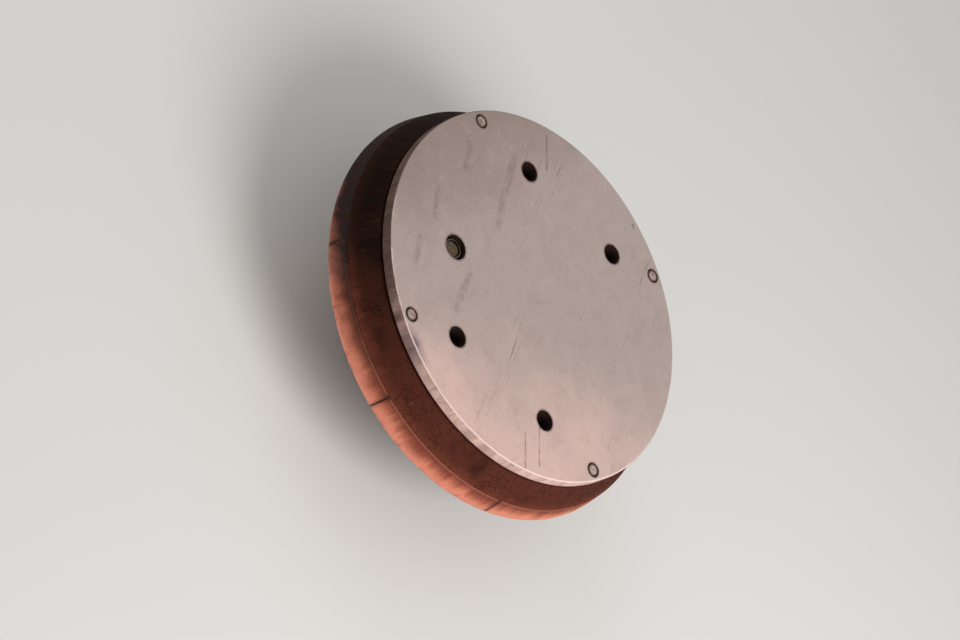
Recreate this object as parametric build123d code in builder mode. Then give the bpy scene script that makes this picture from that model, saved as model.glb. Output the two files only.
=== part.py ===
from build123d import *
import os
from math import atan2, cos, hypot, radians, sin, sqrt, tan

# A small uncrewed return capsule that stands nose down on its heat shield.
# Millimetres. +Z runs up the capsule's axis, from the nose to the aft cover.
# The origin is the middle of the nose plug's flat face, and +X runs along the
# longer side of the rectangle of four separation posts.

# Outer form, read from the nose upwards
nose_radius = 300.0
nose_flat_radius = 28.0
cone_half_angle = 60.0
max_radius = 450.0
shoulder_radius = 25.0
band_lean = 10.5
band_height = 41.5
wall_height = 62.5
cover_gap = 6.0
cover_setback = 40.0
cover_thickness = 27.5

# Heat shield
tile_thickness = 30.0
tile_count = 8
tile_gap = 3.0
tile_edge = 1.0
filler_clearance = 0.3
filler_recess = 1.5
cut_margin = 5.0
shoulder_tile_width = 45.5
bond_line = 0.3
carrier_thickness = 12.0
skirt_thickness = 8.0
deck_ledge = 10.0

# Backshell
wall_thickness = 10.0
wall_seam = 2.0
wall_seal_recess = 1.5
shell_thickness = 3.0
shell_flange_thickness = 5.0
shell_flange_width = 33.0
stringer_count = 16
stringer_start_angle = 11.25
stringer_thickness = 3.0
stringer_depth = 14.0
ring_flange_width = 32.0
ring_flange_height = 12.0
ring_lip_height = 10.0
ring_lip_thickness = 5.0
seal_inset = 5.0
seal_width = 5.0
seal_height = 4.0
fit_clearance = 0.3

# Deck and what stands on it
deck_thickness = 20.0
post_rows_x = 248.0
post_rows_y = 135.0
post_clearance = 8.5
post_radius = 19.0
post_flange_radius = 34.0
post_flange_height = 6.0
post_gusset_count = 4
post_gusset_thickness = 5.0
post_gusset_height = 30.0
post_cup_radius = 14.0
post_cup_angle = 120.0
post_bore_radius = 5.1
post_bore_depth = 30.0
can_clearance = 6.0
can_wall = 3.0
can_headroom = 7.5
can_flange_width = 12.0
can_bead_radius = 3.0
pack_rise = 2.0
pack_edge = 14.0
box_length = 120.0
box_width = 72.0
box_height = 34.0
box_corner = 6.0
box_foot = 12.0
box_foot_thickness = 4.0
box_lid_overhang = 2.0
box_lid_thickness = 3.0
box_plug_radius = 9.0
box_plug_length = 10.0
box_plug_spacing = 34.0
box_plug_flange = 3.0
box_plug_flange_thickness = 2.0
block_radius = 190.0
block_height = 108.0

# Umbilical port
port_x = 67.8
port_y = -224.0
port_clearance = 5.5
connector_radius = 21.5
connector_depth = 8.0
connector_height = 28.0
connector_wall = 2.5
connector_recess = 9.0
insert_gap = 3.0
insert_drop = 4.0
bracket_radius = 13.0
bracket_plate = 5.0
bracket_foot_radius = 30.0
bracket_gusset_count = 3
bracket_gusset_thickness = 5.0

# Aft cover
cover_edge = 2.5
post_hole_radius = 22.0
fastener_inset = 24.0
fastener_count = 4
fastener_start_angle = 48.95
plug_bore_radius = 16.0
plug_cap_radius = 12.0
plug_groove_depth = 9.0
bolt_radius = 4.0
bolt_head_radius = 7.0
bolt_head_height = 8.0
bolt_hole_clearance = 0.5
bolt_end_gap = 2.0
rib_thickness = 4.0
rib_depth = 9.0
rib_count = 8
rib_hub_radius = 60.0
rib_clearance = 14.0

# Heights and radii that follow from the outer form
slope = radians(cone_half_angle)
lean = radians(band_lean)
nose_centre_z = sqrt(nose_radius**2 - nose_flat_radius**2)
nose_angle = radians(90.0 - cone_half_angle)
cone_start_r = nose_radius * cos(slope)
cone_start_z = nose_centre_z - nose_radius * sin(slope)
shoulder_r = max_radius - shoulder_radius
cone_end_r = shoulder_r + shoulder_radius * cos(slope)
cone_end_z = cone_start_z + (cone_end_r - cone_start_r) / tan(slope)
shoulder_z = cone_end_z + shoulder_radius * sin(slope)
band_start_r = shoulder_r + shoulder_radius * cos(lean)
band_start_z = shoulder_z + shoulder_radius * sin(lean)
band_top_z = shoulder_z + band_height
band_top_r = band_start_r - (band_top_z - band_start_z) * tan(lean)
ring_gap_radius = cone_end_r - shoulder_tile_width
cover_radius = max_radius - cover_setback
wall_top_z = band_top_z + wall_height
wall_lean = atan2(band_top_r - cover_radius, wall_height)
cover_bottom_z = wall_top_z + cover_gap
fastener_radius = cover_radius - fastener_inset
face_z = cover_bottom_z + cover_thickness

rim_inner_radius = band_top_r - tile_thickness
skirt_radius = rim_inner_radius - bond_line
deck_seat_radius = skirt_radius - skirt_thickness
deck_top_z = band_top_z
deck_bottom_z = deck_top_z - deck_thickness
wall_foot_z = band_top_z + wall_seam
shell_flange_z = band_top_z + shell_flange_thickness
ring_bottom_z = wall_top_z - ring_flange_height
bolt_bottom_z = ring_bottom_z + bolt_end_gap
shell_depth = wall_thickness + bond_line
shell_back = shell_depth + shell_thickness
stringer_back = shell_back + bond_line
panel_radius = cover_radius - shell_depth / cos(wall_lean)
ring_inner_radius = panel_radius - ring_flange_width
seal_radius = ring_inner_radius + seal_inset + seal_width / 2
rib_ring_radius = ring_inner_radius - rib_clearance
port_radius = connector_radius + port_clearance
port_reach = hypot(port_x, port_y)
can_radius = port_reach - bracket_foot_radius - can_clearance - can_flange_width
can_flange_radius = can_radius + can_flange_width
can_height = wall_height - rib_depth - can_headroom
can_floor_z = deck_top_z + can_wall
can_top_z = deck_top_z + can_height
box_offset = (can_flange_radius + deck_seat_radius) / 2
tile_pitch = 360.0 / tile_count
half_gap = tile_gap / 2
post_places = [
    (post_rows_x, post_rows_y),
    (-post_rows_x, post_rows_y),
    (-post_rows_x, -post_rows_y),
    (post_rows_x, -post_rows_y),
]


def radial_plane(angle, foot=(0, 0)):
    """The upright plane at this angle through a foot point: x is the reach, y is the height."""
    turn = radians(angle)
    return Plane(origin=(*foot, 0), x_dir=(cos(turn), sin(turn), 0), z_dir=(sin(turn), -cos(turn), 0))


def faces_outwards(face):
    """True for a face whose outer side looks away from the axis."""
    middle = face.center()
    normal = face.normal_at(middle)
    return normal.X * middle.X + normal.Y * middle.Y > cos(slope) / 2 * hypot(middle.X, middle.Y)


def is_tile_edge(edge):
    """True unless two outer faces of a shoulder tile meet smoothly at this edge."""
    height = edge.center().Z
    return abs(height - cone_end_z) > bond_line and abs(height - band_start_z) > bond_line


def nose_point(angle, depth=0.0):
    """A point on the nose sphere at this angle from the pole, depth under the surface."""
    reach = nose_radius - depth
    return (reach * sin(angle), nose_centre_z - reach * cos(angle))


def cone_point(radius, depth=0.0):
    """A point on the cone whose foot on the outer surface is at this radius, depth under it."""
    height = cone_start_z + (radius - cone_start_r) / tan(slope)
    return (radius - depth * cos(slope), height + depth * sin(slope))


def cone_height(radius, depth):
    """The height at which the surface at this depth under the cone reaches a radius."""
    return cone_point(radius + depth * cos(slope), depth)[1]


def wall_radius(height, depth=0.0):
    """The side wall's radius at a height, depth under its outer surface."""
    outer = band_top_r - (height - band_top_z) * tan(wall_lean)
    return outer - depth / cos(wall_lean)


def along_cone(radius, distance):
    """The radius that lies a distance further up the cone's surface."""
    return radius + distance * sin(slope)


def sphere_height(radius, depth=0.0):
    """The height of the nose sphere at a radius, depth under the surface."""
    return nose_centre_z - sqrt((nose_radius - depth) ** 2 - radius**2)


def strip_outline(low_radius, high_radius, front, back):
    """The edges round the stretch between two depths and two cuts square to the cone."""
    with BuildLine() as outline:
        Polyline(
            cone_point(low_radius, front),
            cone_point(high_radius, front),
            cone_point(high_radius, back),
            cone_point(low_radius, back),
            close=True,
        )
    return outline.edges()


def shoulder_outline(start_radius, recess=0.0):
    """The edges round the tile layer from the cone, round the shoulder and up the edge band."""
    reach = shoulder_radius - recess
    middle = (lean - slope) / 2
    band_foot = (shoulder_r + reach * cos(lean), shoulder_z + reach * sin(lean))
    band_head = (band_foot[0] - (band_top_z - band_foot[1]) * tan(lean), band_top_z)
    cone_end = (shoulder_r + reach * cos(slope), shoulder_z - reach * sin(slope))
    with BuildLine() as outline:
        Line(cone_point(start_radius, recess), cone_end)
        ThreePointArc(
            cone_end,
            (shoulder_r + reach * cos(middle), shoulder_z + reach * sin(middle)),
            band_foot,
        )
        Polyline(
            band_foot,
            band_head,
            (rim_inner_radius, band_top_z),
            (rim_inner_radius, cone_height(rim_inner_radius, tile_thickness)),
            cone_point(start_radius, tile_thickness),
            cone_point(start_radius, recess),
        )
    return outline.edges()


def save(item, name):
    """Label one sub-part and write it as its own STEP file."""
    item.part.label = name
    export_step(item.part, f"parts/{name}.step")


os.makedirs("parts", exist_ok=True)

# Heat shield

with BuildPart() as nose_plug:
    with BuildSketch(Plane.XY):
        Circle(nose_flat_radius)
    extrude(amount=sphere_height(0, tile_thickness))
    chamfer(nose_plug.edges().group_by(Axis.Z)[0], length=tile_edge)
save(nose_plug, "nose_plug")

with BuildPart() as nose_cap:
    hole_r = nose_flat_radius + fit_clearance
    cut_angle = nose_angle - half_gap / nose_radius
    with BuildSketch(Plane.XZ):
        with BuildLine():
            ThreePointArc(
                (hole_r, sphere_height(hole_r)),
                nose_point(cut_angle / 2),
                nose_point(cut_angle),
            )
            Line(nose_point(cut_angle), nose_point(cut_angle, tile_thickness))
            ThreePointArc(
                nose_point(cut_angle, tile_thickness),
                nose_point(cut_angle / 2, tile_thickness),
                (hole_r, sphere_height(hole_r, tile_thickness)),
            )
            Line((hole_r, sphere_height(hole_r, tile_thickness)), (hole_r, sphere_height(hole_r)))
        make_face()
    revolve(axis=Axis.Z)
    outer_face = nose_cap.faces().filter_by(GeomType.SPHERE).sort_by(SortBy.AREA)[-1]
    chamfer(outer_face.edges().filter_by(lambda edge: edge.is_closed), length=tile_edge)
save(nose_cap, "nose_cap")

flank_section = strip_outline(
    along_cone(cone_start_r, half_gap),
    along_cone(ring_gap_radius, -half_gap),
    0,
    tile_thickness,
)
for index in range(tile_count):
    start_angle = index * tile_pitch
    with BuildPart() as flank_tile:
        with BuildSketch(radial_plane(start_angle)):
            make_face(flank_section)
        revolve(axis=Axis.Z, revolution_arc=tile_pitch)
        for angle in (start_angle, start_angle + tile_pitch):
            with BuildSketch(radial_plane(angle)):
                Rectangle(max_radius, wall_top_z, align=(Align.MIN, Align.MIN))
            extrude(amount=half_gap, both=True, mode=Mode.SUBTRACT)
        chamfer(flank_tile.faces().sort_by(SortBy.AREA)[-1].edges(), length=tile_edge)
    save(flank_tile, f"flank_tile_{index + 1}")

shoulder_section = shoulder_outline(along_cone(ring_gap_radius, half_gap))
for index in range(tile_count):
    start_angle = (index + 0.5) * tile_pitch
    with BuildPart() as shoulder_tile:
        with BuildSketch(radial_plane(start_angle)):
            make_face(shoulder_section)
        revolve(axis=Axis.Z, revolution_arc=tile_pitch)
        for angle in (start_angle, start_angle + tile_pitch):
            with BuildSketch(radial_plane(angle)):
                Rectangle(2 * max_radius, wall_top_z, align=(Align.MIN, Align.MIN))
            extrude(amount=half_gap, both=True, mode=Mode.SUBTRACT)
        outer_faces = shoulder_tile.faces().filter_by(faces_outwards)
        chamfer(outer_faces.edges().filter_by(is_tile_edge), length=tile_edge)
    save(shoulder_tile, f"shoulder_tile_{index + 1}")

# The strips are what is left of one recessed layer when a pocket is cut for each tile.
filler_half = half_gap - filler_clearance
layer_section = shoulder_outline(along_cone(cone_start_r, -filler_half), filler_recess)
flank_pocket_section = strip_outline(
    along_cone(cone_start_r, filler_half),
    along_cone(ring_gap_radius, -filler_half),
    -cut_margin,
    tile_thickness + cut_margin,
)
pocket_foot = cone_point(along_cone(ring_gap_radius, filler_half), -cut_margin)
pocket_back = cone_point(along_cone(ring_gap_radius, filler_half), tile_thickness + cut_margin)
with BuildLine() as shoulder_pocket_section:
    Polyline(
        pocket_foot,
        (max_radius + cut_margin, pocket_foot[1]),
        (max_radius + cut_margin, band_top_z + cut_margin),
        (rim_inner_radius - cut_margin, band_top_z + cut_margin),
        pocket_back,
        close=True,
    )
pocket_sections = [flank_pocket_section, shoulder_pocket_section.edges()]

with BuildPart() as gap_fillers:
    with BuildSketch(Plane.XZ):
        make_face(layer_section)
    revolve(axis=Axis.Z)
for turn, pocket_section in zip((0, tile_pitch / 2), pocket_sections):
    with BuildPart() as tile_pocket:
        with BuildSketch(radial_plane(0)):
            make_face(pocket_section)
        revolve(axis=Axis.Z, revolution_arc=tile_pitch)
        for angle in (0, tile_pitch):
            with BuildSketch(radial_plane(angle)):
                Rectangle(2 * max_radius, wall_top_z, align=(Align.MIN, Align.MIN))
            extrude(amount=filler_half, both=True, mode=Mode.SUBTRACT)
    with gap_fillers:
        with PolarLocations(0, tile_count, start_angle=turn):
            add(tile_pocket.part, mode=Mode.SUBTRACT)
save(gap_fillers, "gap_fillers")

with BuildPart() as carrier_shell:
    outer_depth = tile_thickness + bond_line
    inner_depth = outer_depth + carrier_thickness
    ledge_r = deck_seat_radius - deck_ledge
    with BuildSketch(Plane.XZ):
        with BuildLine():
            ThreePointArc(
                (0, nose_point(0, outer_depth)[1]),
                nose_point(nose_angle / 2, outer_depth),
                nose_point(nose_angle, outer_depth),
            )
            Polyline(
                nose_point(nose_angle, outer_depth),
                (skirt_radius, cone_height(skirt_radius, outer_depth)),
                (skirt_radius, band_top_z),
                (deck_seat_radius, band_top_z),
                (deck_seat_radius, deck_bottom_z),
                (ledge_r, deck_bottom_z),
                (ledge_r, cone_height(ledge_r, inner_depth)),
                nose_point(nose_angle, inner_depth),
            )
            ThreePointArc(
                nose_point(nose_angle, inner_depth),
                nose_point(nose_angle / 2, inner_depth),
                (0, nose_point(0, inner_depth)[1]),
            )
            Line((0, nose_point(0, inner_depth)[1]), (0, nose_point(0, outer_depth)[1]))
        make_face()
    revolve(axis=Axis.Z)
save(carrier_shell, "carrier_shell")

# Backshell

with BuildPart() as side_wall:
    with BuildSketch(Plane.XZ):
        with BuildLine():
            Polyline(
                (wall_radius(wall_foot_z), wall_foot_z),
                (wall_radius(wall_top_z), wall_top_z),
                (wall_radius(wall_top_z, wall_thickness), wall_top_z),
                (wall_radius(wall_foot_z, wall_thickness), wall_foot_z),
                close=True,
            )
        make_face()
    revolve(axis=Axis.Z)
save(side_wall, "side_wall")

with BuildPart() as wall_seal:
    with BuildSketch(Plane.XZ):
        with BuildLine():
            Polyline(
                (wall_radius(band_top_z, wall_seal_recess), band_top_z),
                (wall_radius(wall_foot_z, wall_seal_recess), wall_foot_z),
                (wall_radius(wall_foot_z, wall_thickness), wall_foot_z),
                (wall_radius(band_top_z, wall_thickness), band_top_z),
                close=True,
            )
        make_face()
    revolve(axis=Axis.Z)
save(wall_seal, "wall_seal")

with BuildPart() as backshell_frame:
    shell_flange_radius = wall_radius(band_top_z, shell_depth) - shell_flange_width
    with BuildSketch(Plane.XZ):
        with BuildLine():
            Polyline(
                (shell_flange_radius, band_top_z),
                (wall_radius(band_top_z, shell_depth), band_top_z),
                (wall_radius(ring_bottom_z, shell_depth), ring_bottom_z),
                (wall_radius(ring_bottom_z, shell_back), ring_bottom_z),
                (wall_radius(shell_flange_z, shell_back), shell_flange_z),
                (shell_flange_radius, shell_flange_z),
                close=True,
            )
        make_face()
    revolve(axis=Axis.Z)
save(backshell_frame, "backshell_frame")

with BuildPart() as stringers:
    for index in range(stringer_count):
        with BuildSketch(radial_plane(stringer_start_angle + index * 360.0 / stringer_count)):
            with BuildLine():
                Polyline(
                    (wall_radius(shell_flange_z, stringer_back), shell_flange_z),
                    (wall_radius(ring_bottom_z, stringer_back), ring_bottom_z),
                    (wall_radius(ring_bottom_z, stringer_back + stringer_depth), ring_bottom_z),
                    (wall_radius(shell_flange_z, stringer_back + stringer_depth), shell_flange_z),
                    close=True,
                )
            make_face()
        extrude(amount=stringer_thickness / 2, both=True)
save(stringers, "stringers")

with BuildPart() as aft_ring:
    with BuildSketch(Plane.XZ):
        lip_z = ring_bottom_z - ring_lip_height
        lip_r = ring_inner_radius + ring_lip_thickness
        with BuildLine():
            Polyline(
                (ring_inner_radius, lip_z),
                (lip_r, lip_z),
                (lip_r, ring_bottom_z),
                (wall_radius(ring_bottom_z, shell_depth), ring_bottom_z),
                (wall_radius(wall_top_z, shell_depth), wall_top_z),
                (ring_inner_radius, wall_top_z),
                close=True,
            )
        make_face()
        with Locations((seal_radius, wall_top_z - seal_height / 2)):
            Rectangle(seal_width, seal_height, mode=Mode.SUBTRACT)
    revolve(axis=Axis.Z)
    with Locations(Plane.XY.offset(wall_top_z)):
        with PolarLocations(fastener_radius, fastener_count, start_angle=fastener_start_angle):
            Hole(radius=bolt_radius + bolt_hole_clearance, depth=ring_flange_height)
save(aft_ring, "aft_ring")

with BuildPart() as cover_seal:
    with BuildSketch(Plane.XZ):
        with Locations((seal_radius, wall_top_z - seal_height / 2)):
            Rectangle(seal_width - 2 * fit_clearance, seal_height - 2 * fit_clearance)
    revolve(axis=Axis.Z)
save(cover_seal, "cover_seal")

# Deck and what stands on it

with BuildPart() as deck:
    with BuildSketch(Plane.XY.offset(deck_bottom_z)):
        Circle(deck_seat_radius - fit_clearance)
    extrude(amount=deck_thickness)
save(deck, "deck")

post_top_z = wall_top_z - post_clearance
gusset_top_z = deck_top_z + post_flange_height + post_gusset_height
gusset_root = post_cup_radius
for index, place in enumerate(post_places):
    with BuildPart() as post:
        with BuildSketch(Plane.XY.offset(deck_top_z)):
            with Locations(place):
                Circle(post_flange_radius)
        extrude(amount=post_flange_height)
        with BuildSketch(Plane.XY.offset(deck_top_z)):
            with Locations(place):
                Circle(post_radius)
        extrude(amount=post_top_z - deck_top_z)
        for gusset in range(post_gusset_count):
            with BuildSketch(radial_plane((gusset + 0.5) * 360.0 / post_gusset_count, place)):
                with BuildLine():
                    Polyline(
                        (gusset_root, deck_top_z + post_flange_height),
                        (post_flange_radius - post_flange_height, deck_top_z + post_flange_height),
                        (post_radius, gusset_top_z),
                        (gusset_root, gusset_top_z),
                        close=True,
                    )
                make_face()
            extrude(amount=post_gusset_thickness / 2, both=True)
        with Locations((place[0], place[1], post_top_z)):
            CounterSinkHole(
                radius=post_bore_radius,
                counter_sink_radius=post_cup_radius,
                depth=post_bore_depth,
                counter_sink_angle=post_cup_angle,
            )
    save(post, f"separation_post_{index + 1}")

with BuildPart() as parachute_can:
    with BuildSketch(Plane.XZ):
        with BuildLine():
            Polyline(
                (0, deck_top_z),
                (can_flange_radius, deck_top_z),
                (can_flange_radius, can_floor_z),
                (can_radius, can_floor_z),
                (can_radius, can_top_z),
                (can_radius - can_wall, can_top_z),
                (can_radius - can_wall, can_floor_z),
                (0, can_floor_z),
                close=True,
            )
        make_face()
        bead_r = can_radius - can_wall + can_bead_radius
        with Locations((bead_r, can_top_z - can_bead_radius), (bead_r, (can_floor_z + can_top_z) / 2)):
            Circle(can_bead_radius)
    revolve(axis=Axis.Z)
save(parachute_can, "parachute_can")

with BuildPart() as parachute_pack:
    pack_bottom_z = can_floor_z + fit_clearance
    with BuildSketch(Plane.XY.offset(pack_bottom_z)):
        Circle(can_radius - can_wall - fit_clearance)
    extrude(amount=can_top_z + pack_rise - pack_bottom_z)
    chamfer(parachute_pack.edges().group_by(Axis.Z)[-1], length=pack_edge / 2, length2=pack_edge)
save(parachute_pack, "parachute_pack")

with BuildPart() as electronics_box:
    lid_corner = box_corner + box_lid_overhang
    with BuildSketch(Plane.XY.offset(deck_top_z)):
        with Locations((0, box_offset)):
            RectangleRounded(box_length + 2 * box_foot, box_width, box_corner)
    extrude(amount=box_foot_thickness)
    with BuildSketch(Plane.XY.offset(deck_top_z)):
        with Locations((0, box_offset)):
            RectangleRounded(box_length, box_width, box_corner)
    extrude(amount=box_height)
    with BuildSketch(Plane.XY.offset(deck_top_z + box_height - box_lid_thickness)):
        with Locations((0, box_offset)):
            RectangleRounded(box_length + 2 * box_lid_overhang, box_width + 2 * box_lid_overhang, lid_corner)
    extrude(amount=box_lid_thickness)
    plug_face = Plane.XZ.offset(-box_offset - box_width / 2)
    plug_height = deck_top_z + box_height / 2
    with BuildSketch(plug_face):
        with Locations((0, plug_height)):
            with GridLocations(box_plug_spacing, 0, 3, 1):
                Circle(box_plug_radius + box_plug_flange)
    extrude(amount=-box_plug_flange_thickness)
    with BuildSketch(plug_face):
        with Locations((0, plug_height)):
            with GridLocations(box_plug_spacing, 0, 3, 1):
                Circle(box_plug_radius)
    extrude(amount=-box_plug_length)
save(electronics_box, "electronics_box")

with BuildPart() as payload_block:
    with BuildSketch(Plane.XY.offset(deck_bottom_z - block_height)):
        Circle(block_radius)
    extrude(amount=block_height)
save(payload_block, "payload_block")

# Umbilical port

connector_top_z = face_z - connector_depth
connector_bottom_z = connector_top_z - connector_height
socket_radius = connector_radius - connector_wall
with BuildPart() as umbilical_connector:
    with BuildSketch(Plane.XY.offset(connector_bottom_z)):
        with Locations((port_x, port_y)):
            Circle(connector_radius)
            Circle(socket_radius, mode=Mode.SUBTRACT)
    extrude(amount=connector_height)
save(umbilical_connector, "umbilical_connector")

with BuildPart() as connector_insert:
    with BuildSketch(Plane.XY.offset(connector_bottom_z)):
        with Locations((port_x, port_y)):
            Circle(socket_radius - fit_clearance)
    extrude(amount=connector_height - connector_recess)
    with BuildSketch(Plane.XY.offset(connector_bottom_z)):
        with Locations((port_x, port_y)):
            Circle(socket_radius - insert_gap)
    extrude(amount=connector_height - insert_drop)
save(connector_insert, "connector_insert")

with BuildPart() as connector_bracket:
    column_height = connector_bottom_z - deck_top_z - bracket_plate
    with BuildSketch(Plane.XY.offset(deck_top_z)):
        with Locations((port_x, port_y)):
            Circle(bracket_foot_radius)
    extrude(amount=bracket_plate)
    with BuildSketch(Plane.XY.offset(deck_top_z)):
        with Locations((port_x, port_y)):
            Circle(bracket_radius)
    extrude(amount=column_height)
    with BuildSketch(Plane.XY.offset(deck_top_z + column_height)):
        with Locations((port_x, port_y)):
            Circle(connector_radius)
    extrude(amount=bracket_plate)
    for gusset in range(bracket_gusset_count):
        with BuildSketch(radial_plane(gusset * 360.0 / bracket_gusset_count, (port_x, port_y))):
            with BuildLine():
                Polyline(
                    (bracket_radius / 2, deck_top_z + bracket_plate),
                    (bracket_foot_radius - bracket_plate, deck_top_z + bracket_plate),
                    (bracket_radius, deck_top_z + column_height),
                    (bracket_radius / 2, deck_top_z + column_height),
                    close=True,
                )
            make_face()
        extrude(amount=bracket_gusset_thickness / 2, both=True)
save(connector_bracket, "connector_bracket")

# Aft cover

with BuildPart() as aft_cover:
    with BuildSketch(Plane.XY.offset(cover_bottom_z)):
        Circle(cover_radius)
        with Locations(post_places):
            Circle(post_hole_radius, mode=Mode.SUBTRACT)
        with Locations((port_x, port_y)):
            Circle(port_radius, mode=Mode.SUBTRACT)
        with PolarLocations(fastener_radius, fastener_count, start_angle=fastener_start_angle):
            Circle(plug_bore_radius, mode=Mode.SUBTRACT)
    extrude(amount=cover_thickness)
    rims = aft_cover.edges().filter_by(GeomType.CIRCLE).filter_by(
        lambda edge: abs(edge.radius - cover_radius) < bond_line
    )
    chamfer(rims, length=cover_edge)
save(aft_cover, "aft_cover")

with BuildPart() as cover_panel:
    with BuildSketch(Plane.XY.offset(wall_top_z)):
        Circle(panel_radius)
        with Locations(post_places):
            Circle(post_hole_radius, mode=Mode.SUBTRACT)
        with Locations((port_x, port_y)):
            Circle(port_radius, mode=Mode.SUBTRACT)
        with PolarLocations(fastener_radius, fastener_count, start_angle=fastener_start_angle):
            Circle(bolt_radius + bolt_hole_clearance, mode=Mode.SUBTRACT)
    extrude(amount=cover_gap)
save(cover_panel, "cover_panel")

with BuildPart() as panel_ribs:
    rib_run = rib_ring_radius - rib_hub_radius
    with BuildSketch(Plane.XY.offset(wall_top_z - rib_depth)):
        Circle(rib_ring_radius)
        Circle(rib_ring_radius - rib_thickness, mode=Mode.SUBTRACT)
        Circle(rib_hub_radius)
        Circle(rib_hub_radius - rib_thickness, mode=Mode.SUBTRACT)
        with PolarLocations(rib_hub_radius + (rib_run - rib_thickness) / 2, rib_count):
            Rectangle(rib_run, rib_thickness)
    extrude(amount=rib_depth)
save(panel_ribs, "panel_ribs")

with BuildPart() as cover_bolts:
    with BuildSketch(Plane.XY.offset(cover_bottom_z)):
        with PolarLocations(fastener_radius, fastener_count, start_angle=fastener_start_angle):
            RegularPolygon(bolt_head_radius, 6)
    extrude(amount=bolt_head_height)
    with BuildSketch(Plane.XY.offset(bolt_bottom_z)):
        with PolarLocations(fastener_radius, fastener_count, start_angle=fastener_start_angle):
            Circle(bolt_radius)
    extrude(amount=cover_bottom_z - bolt_bottom_z)
save(cover_bolts, "cover_bolts")

with BuildPart() as cover_plugs:
    with BuildSketch(Plane.XY.offset(cover_bottom_z)):
        with PolarLocations(fastener_radius, fastener_count, start_angle=fastener_start_angle):
            Circle(plug_bore_radius - fit_clearance)
    extrude(amount=cover_thickness - plug_groove_depth)
    with BuildSketch(Plane.XY.offset(face_z - plug_groove_depth)):
        with PolarLocations(fastener_radius, fastener_count, start_angle=fastener_start_angle):
            Circle(plug_cap_radius)
    extrude(amount=plug_groove_depth)
    with BuildSketch(Plane.XY.offset(cover_bottom_z)):
        with PolarLocations(fastener_radius, fastener_count, start_angle=fastener_start_angle):
            Circle(bolt_head_radius + bolt_hole_clearance)
    extrude(amount=bolt_head_height + bolt_hole_clearance, mode=Mode.SUBTRACT)
save(cover_plugs, "cover_plugs")
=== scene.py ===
"""Finishes, fabric and small fittings of a small return capsule that stands nose down on its heat shield."""

import math

import bmesh
import bpy
from mathutils import Matrix, Quaternion, Vector
from mathutils.bvhtree import BVHTree


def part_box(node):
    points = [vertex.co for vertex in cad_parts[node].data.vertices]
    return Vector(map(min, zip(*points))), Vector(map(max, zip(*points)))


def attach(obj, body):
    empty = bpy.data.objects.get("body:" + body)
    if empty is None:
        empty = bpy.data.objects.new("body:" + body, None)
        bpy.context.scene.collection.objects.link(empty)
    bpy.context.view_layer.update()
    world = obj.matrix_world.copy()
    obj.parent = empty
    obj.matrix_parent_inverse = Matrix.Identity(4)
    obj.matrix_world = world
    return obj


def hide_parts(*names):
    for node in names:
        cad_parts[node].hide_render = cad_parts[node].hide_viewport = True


bl_info = {
    "name": "Return capsule finish",
    "version": (1, 0, 0),
    "blender": (4, 5, 0),
    "location": "View3D > Sidebar > Capsule",
    "description": "Finishes, fabric and small fittings of a return capsule",
    "category": "Object",
}

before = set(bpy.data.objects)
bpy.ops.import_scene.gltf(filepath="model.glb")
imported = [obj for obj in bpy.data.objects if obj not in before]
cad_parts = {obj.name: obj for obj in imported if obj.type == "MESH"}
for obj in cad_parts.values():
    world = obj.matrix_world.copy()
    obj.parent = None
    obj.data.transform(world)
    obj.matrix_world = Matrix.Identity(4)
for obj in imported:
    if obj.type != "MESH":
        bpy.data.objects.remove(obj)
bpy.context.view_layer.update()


def middle(node):
    """The middle of a node's box."""
    low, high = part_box(node)
    return (low + high) / 2


# Places and sizes read from the frame, in metres
FACE_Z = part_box("aft_cover")[1].z
COVER_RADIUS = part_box("aft_cover")[1].x
PANEL_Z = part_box("cover_panel")[0].z
DECK_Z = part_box("deck")[1].z
BAND_TOP_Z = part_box("shoulder_tile_1")[1].z
NOSE_PLUG_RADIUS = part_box("nose_plug")[1].x
RING_FOOT_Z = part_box("aft_ring")[0].z
POSTS = [middle(f"separation_post_{number}") for number in range(1, 5)]
PORT = middle("umbilical_connector")
INSERT_TOP_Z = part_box("connector_insert")[1].z
BRACKET_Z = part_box("connector_bracket")[0].z
CAN_FLANGE_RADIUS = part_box("parachute_can")[1].x
PACK_LOW, PACK_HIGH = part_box("parachute_pack")
BOX_LOW, BOX_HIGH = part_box("electronics_box")

# Sizes of the pieces that the frame's boxes don't give, in metres
POST_HOLE_RADIUS = 0.022
POST_FLANGE_HEIGHT = 0.006
POST_SCREW_REACH = 0.0268
PORT_RADIUS = 0.027
PLUG_RING_RADIUS = 0.386
PLUG_START_ANGLE = math.radians(48.95)
PLUG_CAP_RADIUS = 0.012
PLUG_BORE_RADIUS = 0.016
RIB_ROW_START = 0.075
RIB_ROW_LENGTH = 0.262
RIB_ROW_ASIDE = 0.0075
RIB_RIVET_CLEARANCE = 0.004
SHELL_FLANGE_HEIGHT = 0.005
SHELL_BOLT_REACH = 0.4045
LIP_RIVET_HEIGHT = 0.005
LIP_RIVET_SINK = 0.0003
CAN_FLANGE_HEIGHT = 0.003
CAN_SCREW_INSET = 0.0054
BRACKET_PLATE = 0.005
BRACKET_SCREW_REACH = 0.0225
BOX_LID_OVERHANG = 0.002
BOX_LID_FAR_SCREWS = 0.0695
BOX_SCREW_INSET = 0.004
BOX_FOOT = 0.012
BOX_FOOT_HEIGHT = 0.004
BOX_BOLT_SHIFT = 0.006
BOX_PLUG_SPACING = 0.034
BOX_PLUG_SEAT = 0.0062
TILE_COUNT = 8
NOSE_GAP_RADIUS = 0.150
RING_GAP_RADIUS = 0.392

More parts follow.
